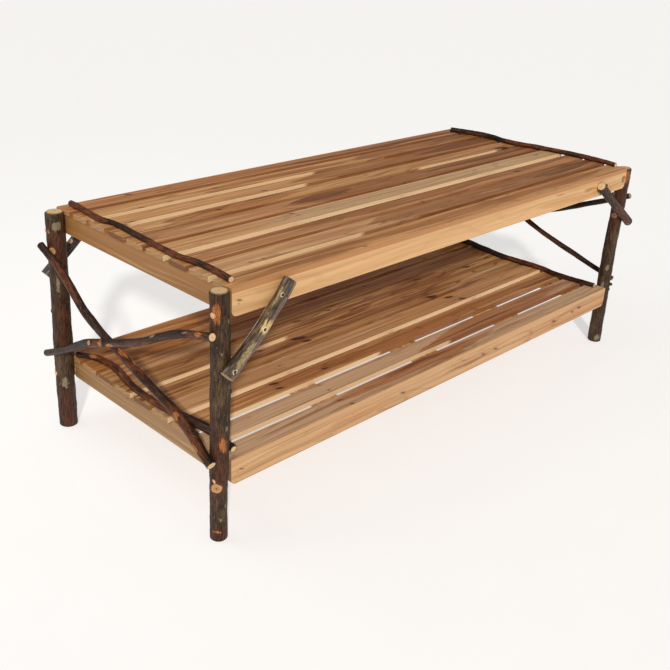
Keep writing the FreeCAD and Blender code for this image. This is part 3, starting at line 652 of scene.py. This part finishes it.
# Each leg: its side and face, its girth, sway along and sway across at each station in standard radii, its
# marks and its stubs. The turns are headings.
LEGS = {
    "leg_front_left": (-1, -1, (0.93, 0.92, 0.97, 1.01, 1.02, 1.01, 0.98),
        (-0.05, -0.05, 0, 0.05, 0.1, 0.1, 0.03), (0.05, 0.04, 0, -0.05, -0.1, -0.1, -0.03),
        (("bare", 0.925, 214, 15, 6), ("warm", 0.93, 205, 24, 10), ("lichen", 0.896, 288, 4.5, 2.6),
        ("lichen", 0.645, 288, 4, 2.2), ("lichen", 0.485, 276, 5, 3.2), ("bare", 0.419, 255, 13, 6.5),
        ("warm", 0.36, 235, 46, 10), ("lichen", 0.154, 282, 4, 2), ("lichen", 0.097, 246, 3.6, 3.4),
        ("warm", 0.289, 219, 10, 18, 0.8), ("knot", 0.24, 219, 9.5, 9, 2.2), ("bare", 0.044, 219, 2.2, 8),
        ("warm", 0.03, 225, 12, 20), ("warm", 0.178, 171, 20, 8), ("lichen", 0.804, 213, 2.4, 1.8),
        ("lichen", 0.78, 240, 2.2, 1.8)), ((0.62, 322, 3.6, 1.4),)),
    "leg_front_right": (1, -1, (1, 0.98, 0.96, 0.94, 0.93, 0.94, 0.95),
        (0, -0.05, -0.1, -0.12, -0.08, -0.02, 0), (0, 0.05, 0.1, 0.1, 0.05, 0, 0),
        (("knot", 0.745, 190, 7, 7, 2), ("warm", 0.86, 200, 60, 18), ("bare", 0.955, 240, 14, 8),
        ("lichen", 0.447, 216, 8, 4), ("lichen", 0.348, 200, 10, 4), ("lichen", 0.03, 230, 8, 9)),
        ((0.345, 300, 3.2, 5.4), (0.31, 318, 3.4, 1.8))),
    "leg_back_left": (-1, 1, (1.12, 1.14, 1.17, 1.15, 1.11, 1.09, 1.1),
        (-0.05, -0.05, -0.03, 0.02, 0.1, 0.13, 0.14), (0.04, 0.05, 0, -0.04, -0.08, -0.1, -0.12),
        (("lichen", 0.945, 244, 9, 9), ("lichen", 0.921, 198, 4, 2.4, 1.4),
        ("warm", 0.86, 232, 34, 26, 0.4), ("knot", 0.84, 212, 7.5, 6.5, 1.6),
        ("lichen", 0.69, 232, 22, 3.6), ("lichen", 0.225, 236, 13, 8), ("lichen", 0.4, 225, 3, 3),
        ("warm", 0.5, 240, 50, 12), ("warm", 0.1, 240, 44, 12)), ((0.55, 120, 5, 1.6),)),
    "leg_back_right": (1, 1, (1.04, 1.02, 1.03, 1, 0.98, 0.97, 0.97),
        (0.05, 0.08, 0.04, 0, -0.05, -0.02, 0.04), (0, 0.06, 0.1, 0.05, 0, -0.05, 0),
        (("knot", 0.3, 60, 8, 7, 2), ("warm", 0.6, 230, 40, 12), ("lichen", 0.5, 60, 20, 6),
        ("bare", 0.9, 40, 14, 6)), ((0.7, 20, 4.4, 1.9),)),
}
LEG_TOP_BEVEL = 2.5 * MM
LEG_FOOT_BEVEL = 1.5 * MM
LEG_STUB_CLEAR_MM = 0.8
STUB_TAPER = (1.2, 1.08, 1.0)


def swung(turn, start, quarter):
    """The direction a turn in degrees away from the start, towards the one a quarter turn from it."""
    angle = math.radians(turn)
    return start * math.cos(angle) + quarter * math.sin(angle)


def mark(kind, spot, way, half_length, half_width, height=0):
    return kind, spot, way, half_length * MM, half_width * MM, height * MM


def leg_value(shares, height):
    """A leg's share at a height, in straight runs between its stations."""
    share = min(max(height / LEG_TOP, 0.0), 1.0)
    for low, high, start, end in zip(LEG_STATIONS, LEG_STATIONS[1:], shares, shares[1:]):
        if share <= high:
            return lerp(start, end, (share - low) / (high - low))
    return shares[-1]


def leg_at(side, face):
    return next(name for name, row in LEGS.items() if row[:2] == (side, face))


def leg_radius(name, height):
    return LEG_RADIUS * leg_value(LEGS[name][2], height)


def leg_axis(name, height):
    side, face, girths, sway_x, sway_y, *_ = LEGS[name]
    return Vector((side * LEG_X + LEG_RADIUS * leg_value(sway_x, height),
                   face * LEG_Y + LEG_RADIUS * leg_value(sway_y, height), height))


def leg_route(name):
    heights = [share * LEG_TOP for share in LEG_STATIONS]
    points = [leg_axis(name, height) for height in heights]
    return Route(points, [leg_radius(name, height) for height in heights])


def make_legs(material):
    for seed, (name, (*_, marks, stubs)) in enumerate(LEGS.items(), start=1):
        stem = Stem("bark_" + name, seed, sides=60, rough_mm=1.0, lump_mm=0.9)
        placed = []
        for kind, share, turn, *sizes in marks:
            height = share * LEG_TOP
            spot = leg_axis(name, height) + swung(turn, *AXES[:2]) * leg_radius(name, height)
            placed.append(mark(kind, spot, AXES[2], *sizes))
        for share, turn, radius, length in stubs:
            height = share * LEG_TOP
            reach = leg_radius(name, height) + (length + LEG_STUB_CLEAR_MM) * MM
            stub(stem, leg_axis(name, height), swung(turn, *AXES[:2]), reach, radius * MM)
        stem.grow(leg_route(name), placed, (LEG_FOOT_BEVEL, LEG_TOP_BEVEL), upright=True)
        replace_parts(stem.piece(material), name)


def stub(stem, heart, direction, reach, radius):
    """A pruned side branch that grows from the heart of its stem."""
    half = direction * reach / 2
    points = [heart + half, heart + half * 1.5, heart + half * 2]
    stem.grow(Route(points, [radius * share for share in STUB_TAPER]))


# End braces: branches that cross between the legs, one of them forked round the front leg.

BRACE_RADIUS = 7.4 * MM
BRACE_RISE = TOP_Z - SHELF_Z

# Each brace: its side, how weathered its back and front cuts are, its points and its marks. A point is shares
# of the half depth, the rise between decks, the stand-off and the girth.
END_BRACES = {
    "end_brace_left_forked": (-1, (1.0, 0.0), ((0.997, 0.778, 1, 0.97), (0.797, 0.71, 1, 1),
        (0.65, 0.632, 0.98, 1.04), (0.5, 0.517, 0.9, 1.08), (0.4, 0.46, 0.84, 1.06), (0.25, 0.4, 0.76, 1),
        (0.09, 0.343, 0.64, 0.98), (-0.15, 0.264, 0.5, 1), (-0.36, 0.205, 0.4, 1.08),
        (-0.5, 0.166, 0.34, 1.22), (-0.6, 0.14, 0.36, 1.3), (-0.7, 0.109, 0.5, 1.2),
        (-0.8, 0.079, 0.7, 1.18), (-0.9, 0.048, 0.92, 1.16), (-0.985, 0.016, 1, 1.14)),
        (("warm", 0.16, 60, 50, 8), ("warm", 0.52, 0, 30, 9, 0.4), ("bare", 0.51, 5, 13, 4, 0.6),
        ("bare", 0.56, 330, 9, 3), ("warm", 0.8, 50, 24, 12, 0.6), ("bare", 0.8, 60, 8, 5, 1),
        ("warm", 0.93, 80, 26, 9), ("bare", 0.93, 75, 9, 3, 0.4), ("bare", 0.68, 110, 16, 2))),
    "end_brace_left_crossing": (-1, (1.0, 0.0), ((1.042, 0.025, 1, 0.9), (0.827, 0.107, 1, 0.95),
        (0.664, 0.178, 1.03, 1), (0.506, 0.254, 1.09, 1.06), (0.357, 0.3154, 1.16, 1.14),
        (0.083, 0.4036, 1.26, 1.02), (-0.27, 0.52, 1.2, 0.98), (-0.49, 0.618, 1.1, 0.96),
        (-0.697, 0.698, 1.04, 0.94), (-0.842, 0.736, 1, 0.94), (-0.998, 0.77, 1, 0.95)),
        (("knot", 0.37, 70, 4.5, 4, 1.6), ("warm", 0.4, 88, 22, 10, 0.4), ("bare", 0.44, 75, 7, 5, 1.2),
        ("bare", 0.49, 110, 12, 3), ("lichen", 0.73, 50, 8, 2.6), ("warm", 0.94, 80, 20, 9),
        ("lichen", 0.89, 60, 8, 2.4), ("bare", 0.95, 60, 9, 4, 0.4), ("warm", 0.62, 130, 60, 5))),
    "end_brace_right_lower": (1, (1.0, 1.0), ((1, 0.77, 1, 0.9), (0.8, 0.71, 1, 0.9),
        (0.56, 0.585, 0.92, 0.88), (0.28, 0.445, 0.84, 0.86), (0.02, 0.33, 0.8, 0.86),
        (-0.24, 0.242, 0.86, 0.85), (-0.54, 0.16, 0.95, 0.84), (-0.835, 0.083, 1, 0.84),
        (-0.985, 0.05, 1, 0.8)), (("warm", 0.5, 90, 60, 4),)),
    "end_brace_right_crossing": (1, (1.0, 0.6), ((1.03, 0.04, 1, 0.95), (0.82, 0.115, 1, 0.95),
        (0.6, 0.2, 1.1, 0.93), (0.33, 0.3, 1.3, 0.93), (0.06, 0.39, 1.42, 0.92), (-0.2, 0.47, 1.34, 0.92),
        (-0.41, 0.54, 1.18, 0.9), (-0.61, 0.615, 1.06, 0.9), (-0.78, 0.675, 1, 0.88),
        (-1.01, 0.76, 1, 0.85)), (("warm", 0.5, 60, 60, 4),)),
}
INNER_TINE = (
    (-0.54, 0.158, 0.34, 0.7), (-0.62, 0.152, 0.16, 1.0), (-0.7, 0.138, -0.2, 0.95),
    (-0.79, 0.11, -0.8, 0.86), (-0.87, 0.085, -1.0, 0.84), (-0.99, 0.062, -1.03, 0.82),
)


def brace_route(side, rows):
    """A stand-off of 1 lays the branch against the legs."""
    points, radii = [], []
    for along_share, rise_share, out_share, girth_share in rows:
        height = SHELF_Z + BRACE_RISE * rise_share
        radius = BRACE_RADIUS * girth_share
        front, back = (leg_radius(leg_at(side, face), height) for face in (-1, 1))
        legs = lerp(front, back, (1 + along_share) / 2)
        reach = (legs + radius - BARK_BITE) * out_share
        points.append(Vector((side * (LEG_X + reach), along_share * HALF_DEPTH, height)))
        radii.append(radius)
    return Route(points, radii)


def marks_on(route, rows, sides=None):
    """Marks on a route, each turned round it from straight up, or from the first of the sides given."""
    marks = []
    for kind, share, turn, *sizes in rows:
        place, girth, direction = route.at(share * route.length)
        across = direction.cross(AXES[2]).normalized()
        spot = place + swung(turn, *(sides or (across.cross(direction), across))) * girth
        marks.append(mark(kind, spot, direction, *sizes))
    return marks


def make_end_braces(material, steel):
    nails = []
    for seed, (name, (side, aged, rows, marks)) in enumerate(END_BRACES.items(), start=11):
        stem = Stem("bark_" + name, seed, sides=36, rough_mm=0.5, lump_mm=0.9)
        route = brace_route(side, rows)
        stem.grow(route, marks_on(route, marks), aged=aged)
        inward = Vector((-side, 0, 0))
        nails += [nail_through(route, 1, y, inward, BRANCH_GRIP) for y in (LEG_Y, -LEG_Y)]
        if "crossing" in name:
            meeting = HALF_DEPTH * CROSSING_SHARES[side]
            nails.append(nail_through(route, 1, meeting, inward, BRACE_RADIUS))
        if "forked" in name:
            tine = brace_route(side, INNER_TINE)
            stem.grow(tine)
            nails.append(nail_through(tine, 1, -LEG_Y, Vector((side, 0, 0)), BRANCH_GRIP))
        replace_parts(stem.piece(material), name)
    drive("brace_nails", nails, steel, "end_brace_nails")


# Knee braces: stout branches from the long rails down to the legs.

KNEE_RADIUS = 12 * MM
KNEE_REACH = 119 * MM
KNEE_DROP = 136 * MM
KNEE_TAIL = 8 * MM
KNEE_STUB_CLEAR_MM = 0.6
KNEE_STATIONS = (0.0, 0.3, 0.62, 1.0)
KNEE_TAPERS = (0.98, 0.97, 1.0, 1.03)
KNEE_BOWS = (0.0, 0.9, 1.0, 0.0)

# Each brace: its side and face, shares of the reach, the rail's height, the tail, the girth and the bow, its
# marks and its stubs. The turns go from the outer face towards the top.
KNEE_BRACES = {
    # On the front left brace, the lichen mark low down at 0.78 is partly pale bark and partly painted glints
    # of light.
    "knee_brace_front_left": (-1, -1, 1.05, 0, 1, 0.96, 0.45, (("bare", 0.46, 10, 12, 9, 0.6),
        ("hole", 0.49, 15, 4.4, 3.4), ("lichen", 0.2, 70, 26, 2.2), ("hole", 0.16, 40, 4.2, 3),
        ("lichen", 0.78, 20, 36, 5), ("warm", 0.62, 300, 40, 6), ("hole", 0.93, 15, 4.4, 3.6),
        ("warm", 0.2, 300, 40, 5)), ((0.93, 250, 3.2, 1.7),)),
    "knee_brace_front_right": (1, -1, 1.2, 0.3, 2.3, 0.83, 0.1, (("warm", 0.7, 320, 40, 8),
        ("lichen", 0.96, 310, 4, 3)), ((0.3, 75, 3.4, 4.7), (0.08, 80, 2.4, 3.5))),
    "knee_brace_back_left": (-1, 1, 1, 0.2, 1.4, 0.88, 0.2, (("lichen", 0.3, 200, 20, 5),
        ("knot", 0.55, 120, 5, 4, 1.4)), ()),
    "knee_brace_back_right": (1, 1, 1.05, 0.15, 1.2, 1.05, 0.3, (("warm", 0.5, 0, 40, 8),
        ("knot", 0.4, 70, 5, 5, 1.8)), ((0.62, 290, 3.6, 2.4),)),
}


def knee_route(name):
    side, face, reach, fall, tail, girth, bow, *_ = KNEE_BRACES[name]
    radius = KNEE_RADIUS * girth
    low_z = TOP_Z - KNEE_DROP
    leg = leg_at(side, face)
    lean = face * (leg_radius(leg, low_z) + radius - BARK_BITE)
    high = Vector((side * (LEG_X - KNEE_REACH * reach), face * (HALF_DEPTH + radius - BARK_BITE),
                   RAIL_TOP - RAIL_HEIGHT * fall))
    low = Vector((side * (LEG_X + KNEE_TAIL * tail), leg_axis(leg, low_z).y + lean, low_z))
    run = low - high
    sag = Vector((-side * abs(run.z), 0, -abs(run.x))).normalized() * (radius * bow)
    points = [high + run * station + sag * share for station, share in zip(KNEE_STATIONS, KNEE_BOWS)]
    return Route(points, [radius * taper for taper in KNEE_TAPERS])


def make_knee_braces(materials, steel):
    nails = []
    for seed, (name, material) in enumerate(zip(KNEE_BRACES, materials), start=21):
        side, face, *_, marks, stubs = KNEE_BRACES[name]
        stem = Stem("bark_" + name, seed, sides=48, rough_mm=0.35, lump_mm=0.8)
        route = knee_route(name)
        outward = Vector((0, face, 0))
        across = Vector((side * abs(route.run.z), 0, abs(route.run.x))).normalized()
        for share, turn, radius, length in stubs:
            place, girth, direction = route.at(share * route.length)
            reach = girth + (length + KNEE_STUB_CLEAR_MM) * MM
            stub(stem, place, swung(turn, outward, across), reach, radius * MM)
        stem.grow(route, marks_on(route, marks, (outward, across)))
        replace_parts(stem.piece(material), name)
        rail_z = min(RAIL_TOP - RAIL_HEIGHT / 2, route.places[0].z - RAIL_HEIGHT / 4)
        nails.append(nail_through(route, 2, rail_z, -outward, RAIL_THICKNESS - NAIL_GAUGE))
        nails.append(nail_through(route, 0, side * LEG_X, -outward, BRANCH_GRIP))
    drive("knee_nails", nails, steel, "knee_brace_nails")


# Trims: twigs along the slat ends, flat beneath.

TRIM_RADIUS = 6 * MM
TRIM_INSET = 17 * MM

# Each trim: its deck, its side, its points and its marks. A point is shares of the half depth, the inset and
# the girth.
TRIMS = {
    "top_trim_left": (TOP_Z, -1, ((0.955, 1.4, 0.95), (0.81, 1.25, 0.95), (0.51, 0.9, 0.9),
        (0.31, 1.35, 0.86), (-0.34, 0.7, 0.9), (-0.6, 1.16, 0.9), (-0.8, 1.02, 0.95),
        (-0.925, 0.86, 0.9)), (("warm", 0.16, 40, 60, 8), ("warm", 0.7, 45, 70, 8),
        ("warm", 0.93, 50, 20, 6, 0.6), ("warm", 0.05, 60, 5, 5, 1.8))),
    "top_trim_right": (TOP_Z, 1, ((0.9, 2.4, 1.1), (0.62, 1.3, 1.12), (0.42, 1.35, 1.08),
        (0.19, 1.7, 1.05), (-0.19, 0.75, 1), (-0.42, 0.5, 1.02), (-0.71, 0.5, 0.98), (-0.91, 0.8, 0.9)),
        (("warm", 0.5, 45, 120, 5), ("warm", 0.88, 45, 40, 6))),
    "shelf_trim_left": (SHELF_Z, -1, ((0.885, 0.3, 1.05), (0.71, 1.6, 1.1), (0.5, 1.7, 1.1),
        (0.22, 0.9, 1.08), (-0.05, 0.65, 1.05), (-0.35, 0.85, 1.05), (-0.65, 1.45, 1),
        (-0.91, 1.35, 0.95)), (("warm", 0.26, 50, 50, 9), ("lichen", 0.3, 40, 10, 2.4),
        ("bare", 0.08, 45, 10, 3, 0.6), ("warm", 0.6, 60, 60, 6), ("lichen", 0.55, 50, 12, 2))),
    "shelf_trim_right": (SHELF_Z, 1, ((0.9, 0.8, 1.15), (0.66, 0.5, 1.2), (0.42, 1.1, 1.18),
        (0.13, 1.7, 1.15), (-0.11, 1.55, 1.12), (-0.34, 1.35, 1.1), (-0.48, 1.75, 1.1),
        (-0.69, 1.65, 1.05), (-0.92, 1.2, 1)), (("warm", 0.6, 45, 60, 5),)),
}


def make_trims(material, steel):
    nails = []
    for seed, (name, (deck, side, rows, marks)) in enumerate(TRIMS.items(), start=31):
        points, radii = [], []
        for along, inset, girth in rows:
            radius = TRIM_RADIUS * girth
            points.append(Vector((side * (HALF_LENGTH - TRIM_INSET * inset), along * HALF_DEPTH,
                                  deck + radius - BARK_BITE)))
            radii.append(radius)
        stem = Stem("bark_" + name, seed, sides=30, rough_mm=0.6, lump_mm=1.3)
        route = Route(points, radii)
        stem.grow(route, marks_on(route, marks))
        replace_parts(stem.piece(material, floor=deck + 0.1 * MM), name)
        for number in TRIM_NAIL_SLATS:
            low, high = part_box(name.split("_")[0] + f"_slat_{number}")
            nails.append(nail_through(route, 1, (low.y + high.y) / 2, -AXES[2], TWIG_GRIP, BRAD_GAUGE))
    drive("twig_brads", nails, steel, "trim_nails")


# Bark: ridges and fissures along the stem, blotches, knots, stripped places and cut ends.

STRIPPED_DARK = rgb(78, 42, 20)
KNOT_CREAM = rgb(190, 146, 98)
KNOT_PALE = rgb(214, 196, 160)
KNOT_HOLE = rgb(34, 20, 14)
CUT_CREAM = rgb(230, 200, 156)
CUT_RING = rgb(178, 134, 90)
CUT_AGED = rgb(84, 66, 50)
HEART = rgb(104, 60, 34)

# Each bark: its fissures, body, ridges, warm places, lichen (whose colour also paints glints of light as
# specks) and stripped wood as screen colours, its ridges in a metre round the stem, its relief in
# millimetres, its coat and the coat's roughness.
BARKS = {
    "olive_bark": ((28, 18, 11), (66, 46, 28), (98, 75, 50), (88, 46, 27), (150, 138, 110), (176, 108, 50),
        520.0, 1.3, 0.06, 0.28),
    "silver_bark": ((34, 22, 18), (82, 62, 44), (130, 110, 80), (84, 52, 50), (182, 160, 110),
        (214, 184, 118), 420.0, 0.9, 1.0, 0.12),
    "red_bark": ((22, 12, 8), (58, 34, 22), (88, 58, 40), (104, 54, 28), (160, 142, 114), (176, 108, 50),
        480.0, 0.9, 0.12, 0.28),
    "dark_bark": ((16, 8, 5), (46, 25, 15), (84, 54, 36), (112, 60, 30), (172, 142, 114), (184, 116, 60),
        560.0, 0.9, 0.12, 0.28),
    "twig_bark": ((12, 6, 4), (44, 20, 10), (86, 48, 26), (122, 62, 30), (140, 112, 84), (176, 108, 50),
        560.0, 0.9, 0.12, 0.28),
    "steel_bark": ((22, 18, 16), (62, 54, 50), (104, 98, 94), (80, 56, 46), (168, 166, 162), (176, 108, 50),
        420.0, 0.9, 0.8, 0.22),
}


def bark(name):
    *tones, fineness, bump_mm, coat, coat_rough = BARKS[name]
    fissure, body, ridge, red, pale, stripped = (rgb(*tone) for tone in tones)
    tree = Tree(name)
    x, y, z = tree.split(tree.attribute("bark", "Vector"))
    ridges = tree.grain(x * fineness, y * fineness, z * (fineness * 0.11), detail=6.0, rough=0.65)
    fine = tree.grain(x * (fineness * 3.0), y * (fineness * 3.0), z * (fineness * 0.7), detail=3.0, rough=0.7)
    slow = tree.grain(x * 55.0, y * 55.0, z * 16.0, detail=4.0, rough=0.6)
    tint = tree.grain(x * 40.0 + 9.0, y * 40.0, z * 11.0, detail=3.0)
    spots = tree.grain(x * 150.0 + 7.0, y * 150.0, z * 90.0, detail=5.0, rough=0.65)
    specks = tree.grain(x * 520.0, y * 520.0, z * 380.0, detail=1.0)
    grown = ridges.ramp(0.36, 0.6)
    tree.colour = tree.mix(grown, fissure, body)
    tree.lay((ridges * 0.7 + slow * 0.7).ramp(0.66, 0.9) * 0.8, ridge)
    warm = tree.attribute("warm") + (tint.ramp(0.5, 0.66) * 0.4)
    warm_bark = tree.mix(grown, fissure, red)
    tree.lay((warm + spots * 0.4 - 0.2).ramp(0.2, 0.6) * 0.85, warm_bark)
    lichen = tree.attribute("lichen") + (spots - 0.5) * 1.2 + (fine - 0.5) * 0.8
    tree.lay(lichen.ramp(0.5, 0.66) * 0.6, pale)
    tree.lay(spots.ramp(0.66, 0.73) * 0.3, pale)
    # Painted highlight: pale specks in the lichen colour stand in for glints of light on the bark.
    tree.lay(specks.ramp(0.71, 0.77) * 0.55, pale)
    tree.lay(fine.ramp(0.5, 0.34) * 0.75, fissure)
    bare = tree.attribute("bare") + (spots - 0.5) * 0.5 + (ridges - 0.5) * 0.9
    wood = tree.mix((ridges * 0.5 + fine * 0.5).ramp(0.4, 0.55), STRIPPED_DARK, stripped)
    tree.lay(bare.ramp(0.34, 0.64) * 0.9, wood)
    knot = tree.attribute("knot") + (spots - 0.5) * 0.14
    tree.lay(knot.ramp(0.28, 0.46) * 0.8, red)
    tree.lay(knot.ramp(0.5, 0.58) * 0.9, KNOT_CREAM)
    tree.lay((1.0 - ((knot - 0.76) * 16.0).size()).most(0.0) * 0.6, HEART)
    tree.lay(knot.ramp(0.84, 0.92) * 0.8, HEART)
    hole = tree.attribute("hole") + (spots - 0.5) * 0.16
    tree.lay(hole.ramp(0.42, 0.52) * spots.ramp(0.36, 0.5), KNOT_PALE)
    tree.lay(hole.ramp(0.6, 0.7), KNOT_HOLE)
    cut = tree.attribute("cut").ramp(0.4, 0.6)
    off = (x * x + y * y).power(0.5)
    share = off / tree.attribute("girth")
    rings = ((off + fine * 0.0009) * 4600.0).sine() * 0.5 + 0.5
    wood = tree.mix(rings * 0.4 + spots * 0.3, CUT_CREAM, CUT_RING)
    wood = tree.mix(specks.ramp(0.62, 0.7) * 0.7, wood, HEART)
    weathered = tree.mix(rings * 0.5 + spots * 0.4, CUT_AGED, HEART)
    wood = tree.mix(tree.attribute("aged"), wood, weathered)
    wood = tree.mix(share.ramp(0.14, 0.05) * 0.8, wood, HEART)
    wood = tree.mix((share + fine * 0.06).ramp(0.94, 0.99) * 0.7, wood, body)
    tree.lay(cut, wood)
    relief = ridges * 0.7 + fine * 0.3 + spots * 0.2
    rough = fine * 0.3 + 0.4
    tree.set("Specular IOR Level", 0.2)
    return tree.finish(rough, relief * (1.0 - cut * 0.8), bump_mm, coat, coat_rough)


# Plugs: turned wooden discs that hide the leg screws, a little proud of the bark.

PLUG_RADIUS = 4.8 * MM
PLUG_HEIGHT_SHARES = {TOP_Z: 0.22, SHELF_Z: 0.42}
PLUG_PROUD = 0.6 * MM
PLUG_DEPTH = 5 * MM
PLUG_DOME = 0.5 * MM
PLUG_DOME_SHARE = 0.94
PLUG_Y = 249.5 * MM


def plug_wood():
    tree = Tree("plug_wood")
    x, y, z = tree.place()
    fibre = tree.grain(x * 300.0, y * 900.0, z * 300.0, detail=3.0)
    tree.colour = tree.mix(fibre.ramp(0.3, 0.7), rgb(196, 140, 96), rgb(226, 178, 132))
    return tree.finish(fibre * 0.15 + 0.4, bump=fibre, bump_mm=0.1, coat=0.2)


def make_plugs(material):
    rows = []
    dome = PLUG_RADIUS * PLUG_DOME_SHARE
    for deck, share in PLUG_HEIGHT_SHARES.items():
        height = deck - SLAT_THICKNESS - RAIL_HEIGHT * (1 - share)
        for name, (side, face, *_) in LEGS.items():
            axis = leg_axis(name, height)
            off_y = face * PLUG_Y - axis.y
            outer = axis.x + side * (math.sqrt(leg_radius(name, height) ** 2 - off_y ** 2) + PLUG_PROUD)
            rows.append((Vector((outer, face * PLUG_Y, height)), Vector((-side, 0, 0)),
                         (PLUG_RADIUS, PLUG_RADIUS, PLUG_DEPTH), (dome, dome, PLUG_DOME)))
    drive("screw_plugs", rows, material, "leg_plugs", sides=32)


# The studio: a plain pale floor and soft lights.

LIGHT_FALLS = Vector((1.15, 1.35, -1.0))
SUN_STRENGTH = 2.6
SUN_SPREAD = math.radians(3.5)
SUN_COLOUR = (1.0, 0.97, 0.92)
GLOSS_AT = Vector((-1.0, 0.6, 1.9))
GLOSS_AIM = Vector((0, 0, 0.4))
GLOSS_WATTS = 8
GLOSS_WIDTH = 1.2
ROOM_COLOUR = (1.0, 0.92, 0.82)
ROOM_LIGHT = 0.3
ROOM_SEEN = 0.8
FLOOR_REACH = 14.0
FLOOR_GLOW = 0.54


def make_floor():
    reach = FLOOR_REACH
    mesh = bpy.data.meshes.new("floor")
    corners = [(-reach, -reach, 0), (reach, -reach, 0), (reach, reach, 0), (-reach, reach, 0)]
    mesh.from_pydata(corners, [], [(0, 1, 2, 3)])
    floor = new_object("floor", mesh)
    tree = Tree("floor_paint")
    x, y, z = tree.place()
    dust = tree.grain(x * 9.0, y * 9.0, z, detail=2.0)
    tree.set("Emission Color", (1.0, 1.0, 1.0))
    tree.set("Emission Strength", FLOOR_GLOW)
    tree.colour = tree.mix(dust, rgb(190, 190, 190), rgb(194, 194, 194))
    floor.data.materials.append(tree.finish(dust * 0.1 + 0.7))


def make_room():
    """An even room that looks paler than the light it gives."""
    world = bpy.data.worlds.new("studio")
    world.use_nodes = True
    tree = Nodes(world.node_tree)
    seen = tree.node("ShaderNodeLightPath", {}, output="Is Camera Ray")
    strength = tree.node("ShaderNodeMapRange", {}, Value=seen, **{"To Min": ROOM_LIGHT, "To Max": ROOM_SEEN})
    background = tree.nodes["Background"]
    tree.feed(background.inputs["Color"], ROOM_COLOUR)
    tree.feed(background.inputs["Strength"], strength)
    bpy.context.scene.world = world
    bpy.context.scene.view_settings.view_transform = "Standard"


def lamp(name, kind, aim, power, **settings):
    data = bpy.data.lights.new(name, kind)
    data.energy = power
    for key, value in settings.items():
        setattr(data, key, value)
    made = new_object(name, data)
    made.rotation_euler = aim.to_track_quat("-Z", "Y").to_euler()
    return made


def make_lamps():
    """A sun above the camera and a little to its right, and a soft lamp over the left end for gloss."""
    lamp("key", "SUN", LIGHT_FALLS, SUN_STRENGTH, angle=SUN_SPREAD, color=SUN_COLOUR)
    gloss = lamp("gloss", "AREA", GLOSS_AIM - GLOSS_AT, GLOSS_WATTS, shape="SQUARE", size=GLOSS_WIDTH)
    gloss.location = GLOSS_AT


# Making.

make_camera()
dress_boards()
steel = nail_steel()
for label in ("leg_screws", "shelf_slat_brads", "top_rail_nails", "shelf_rail_nails"):
    set_material(label, steel)
make_legs(bark("olive_bark"))
make_end_braces(bark("dark_bark"), steel)
red_bark = bark("red_bark")
make_knee_braces((bark("silver_bark"), red_bark, bark("steel_bark"), red_bark), steel)
make_trims(bark("twig_bark"), steel)
make_plugs(plug_wood())
make_floor()
make_room()
make_lamps()
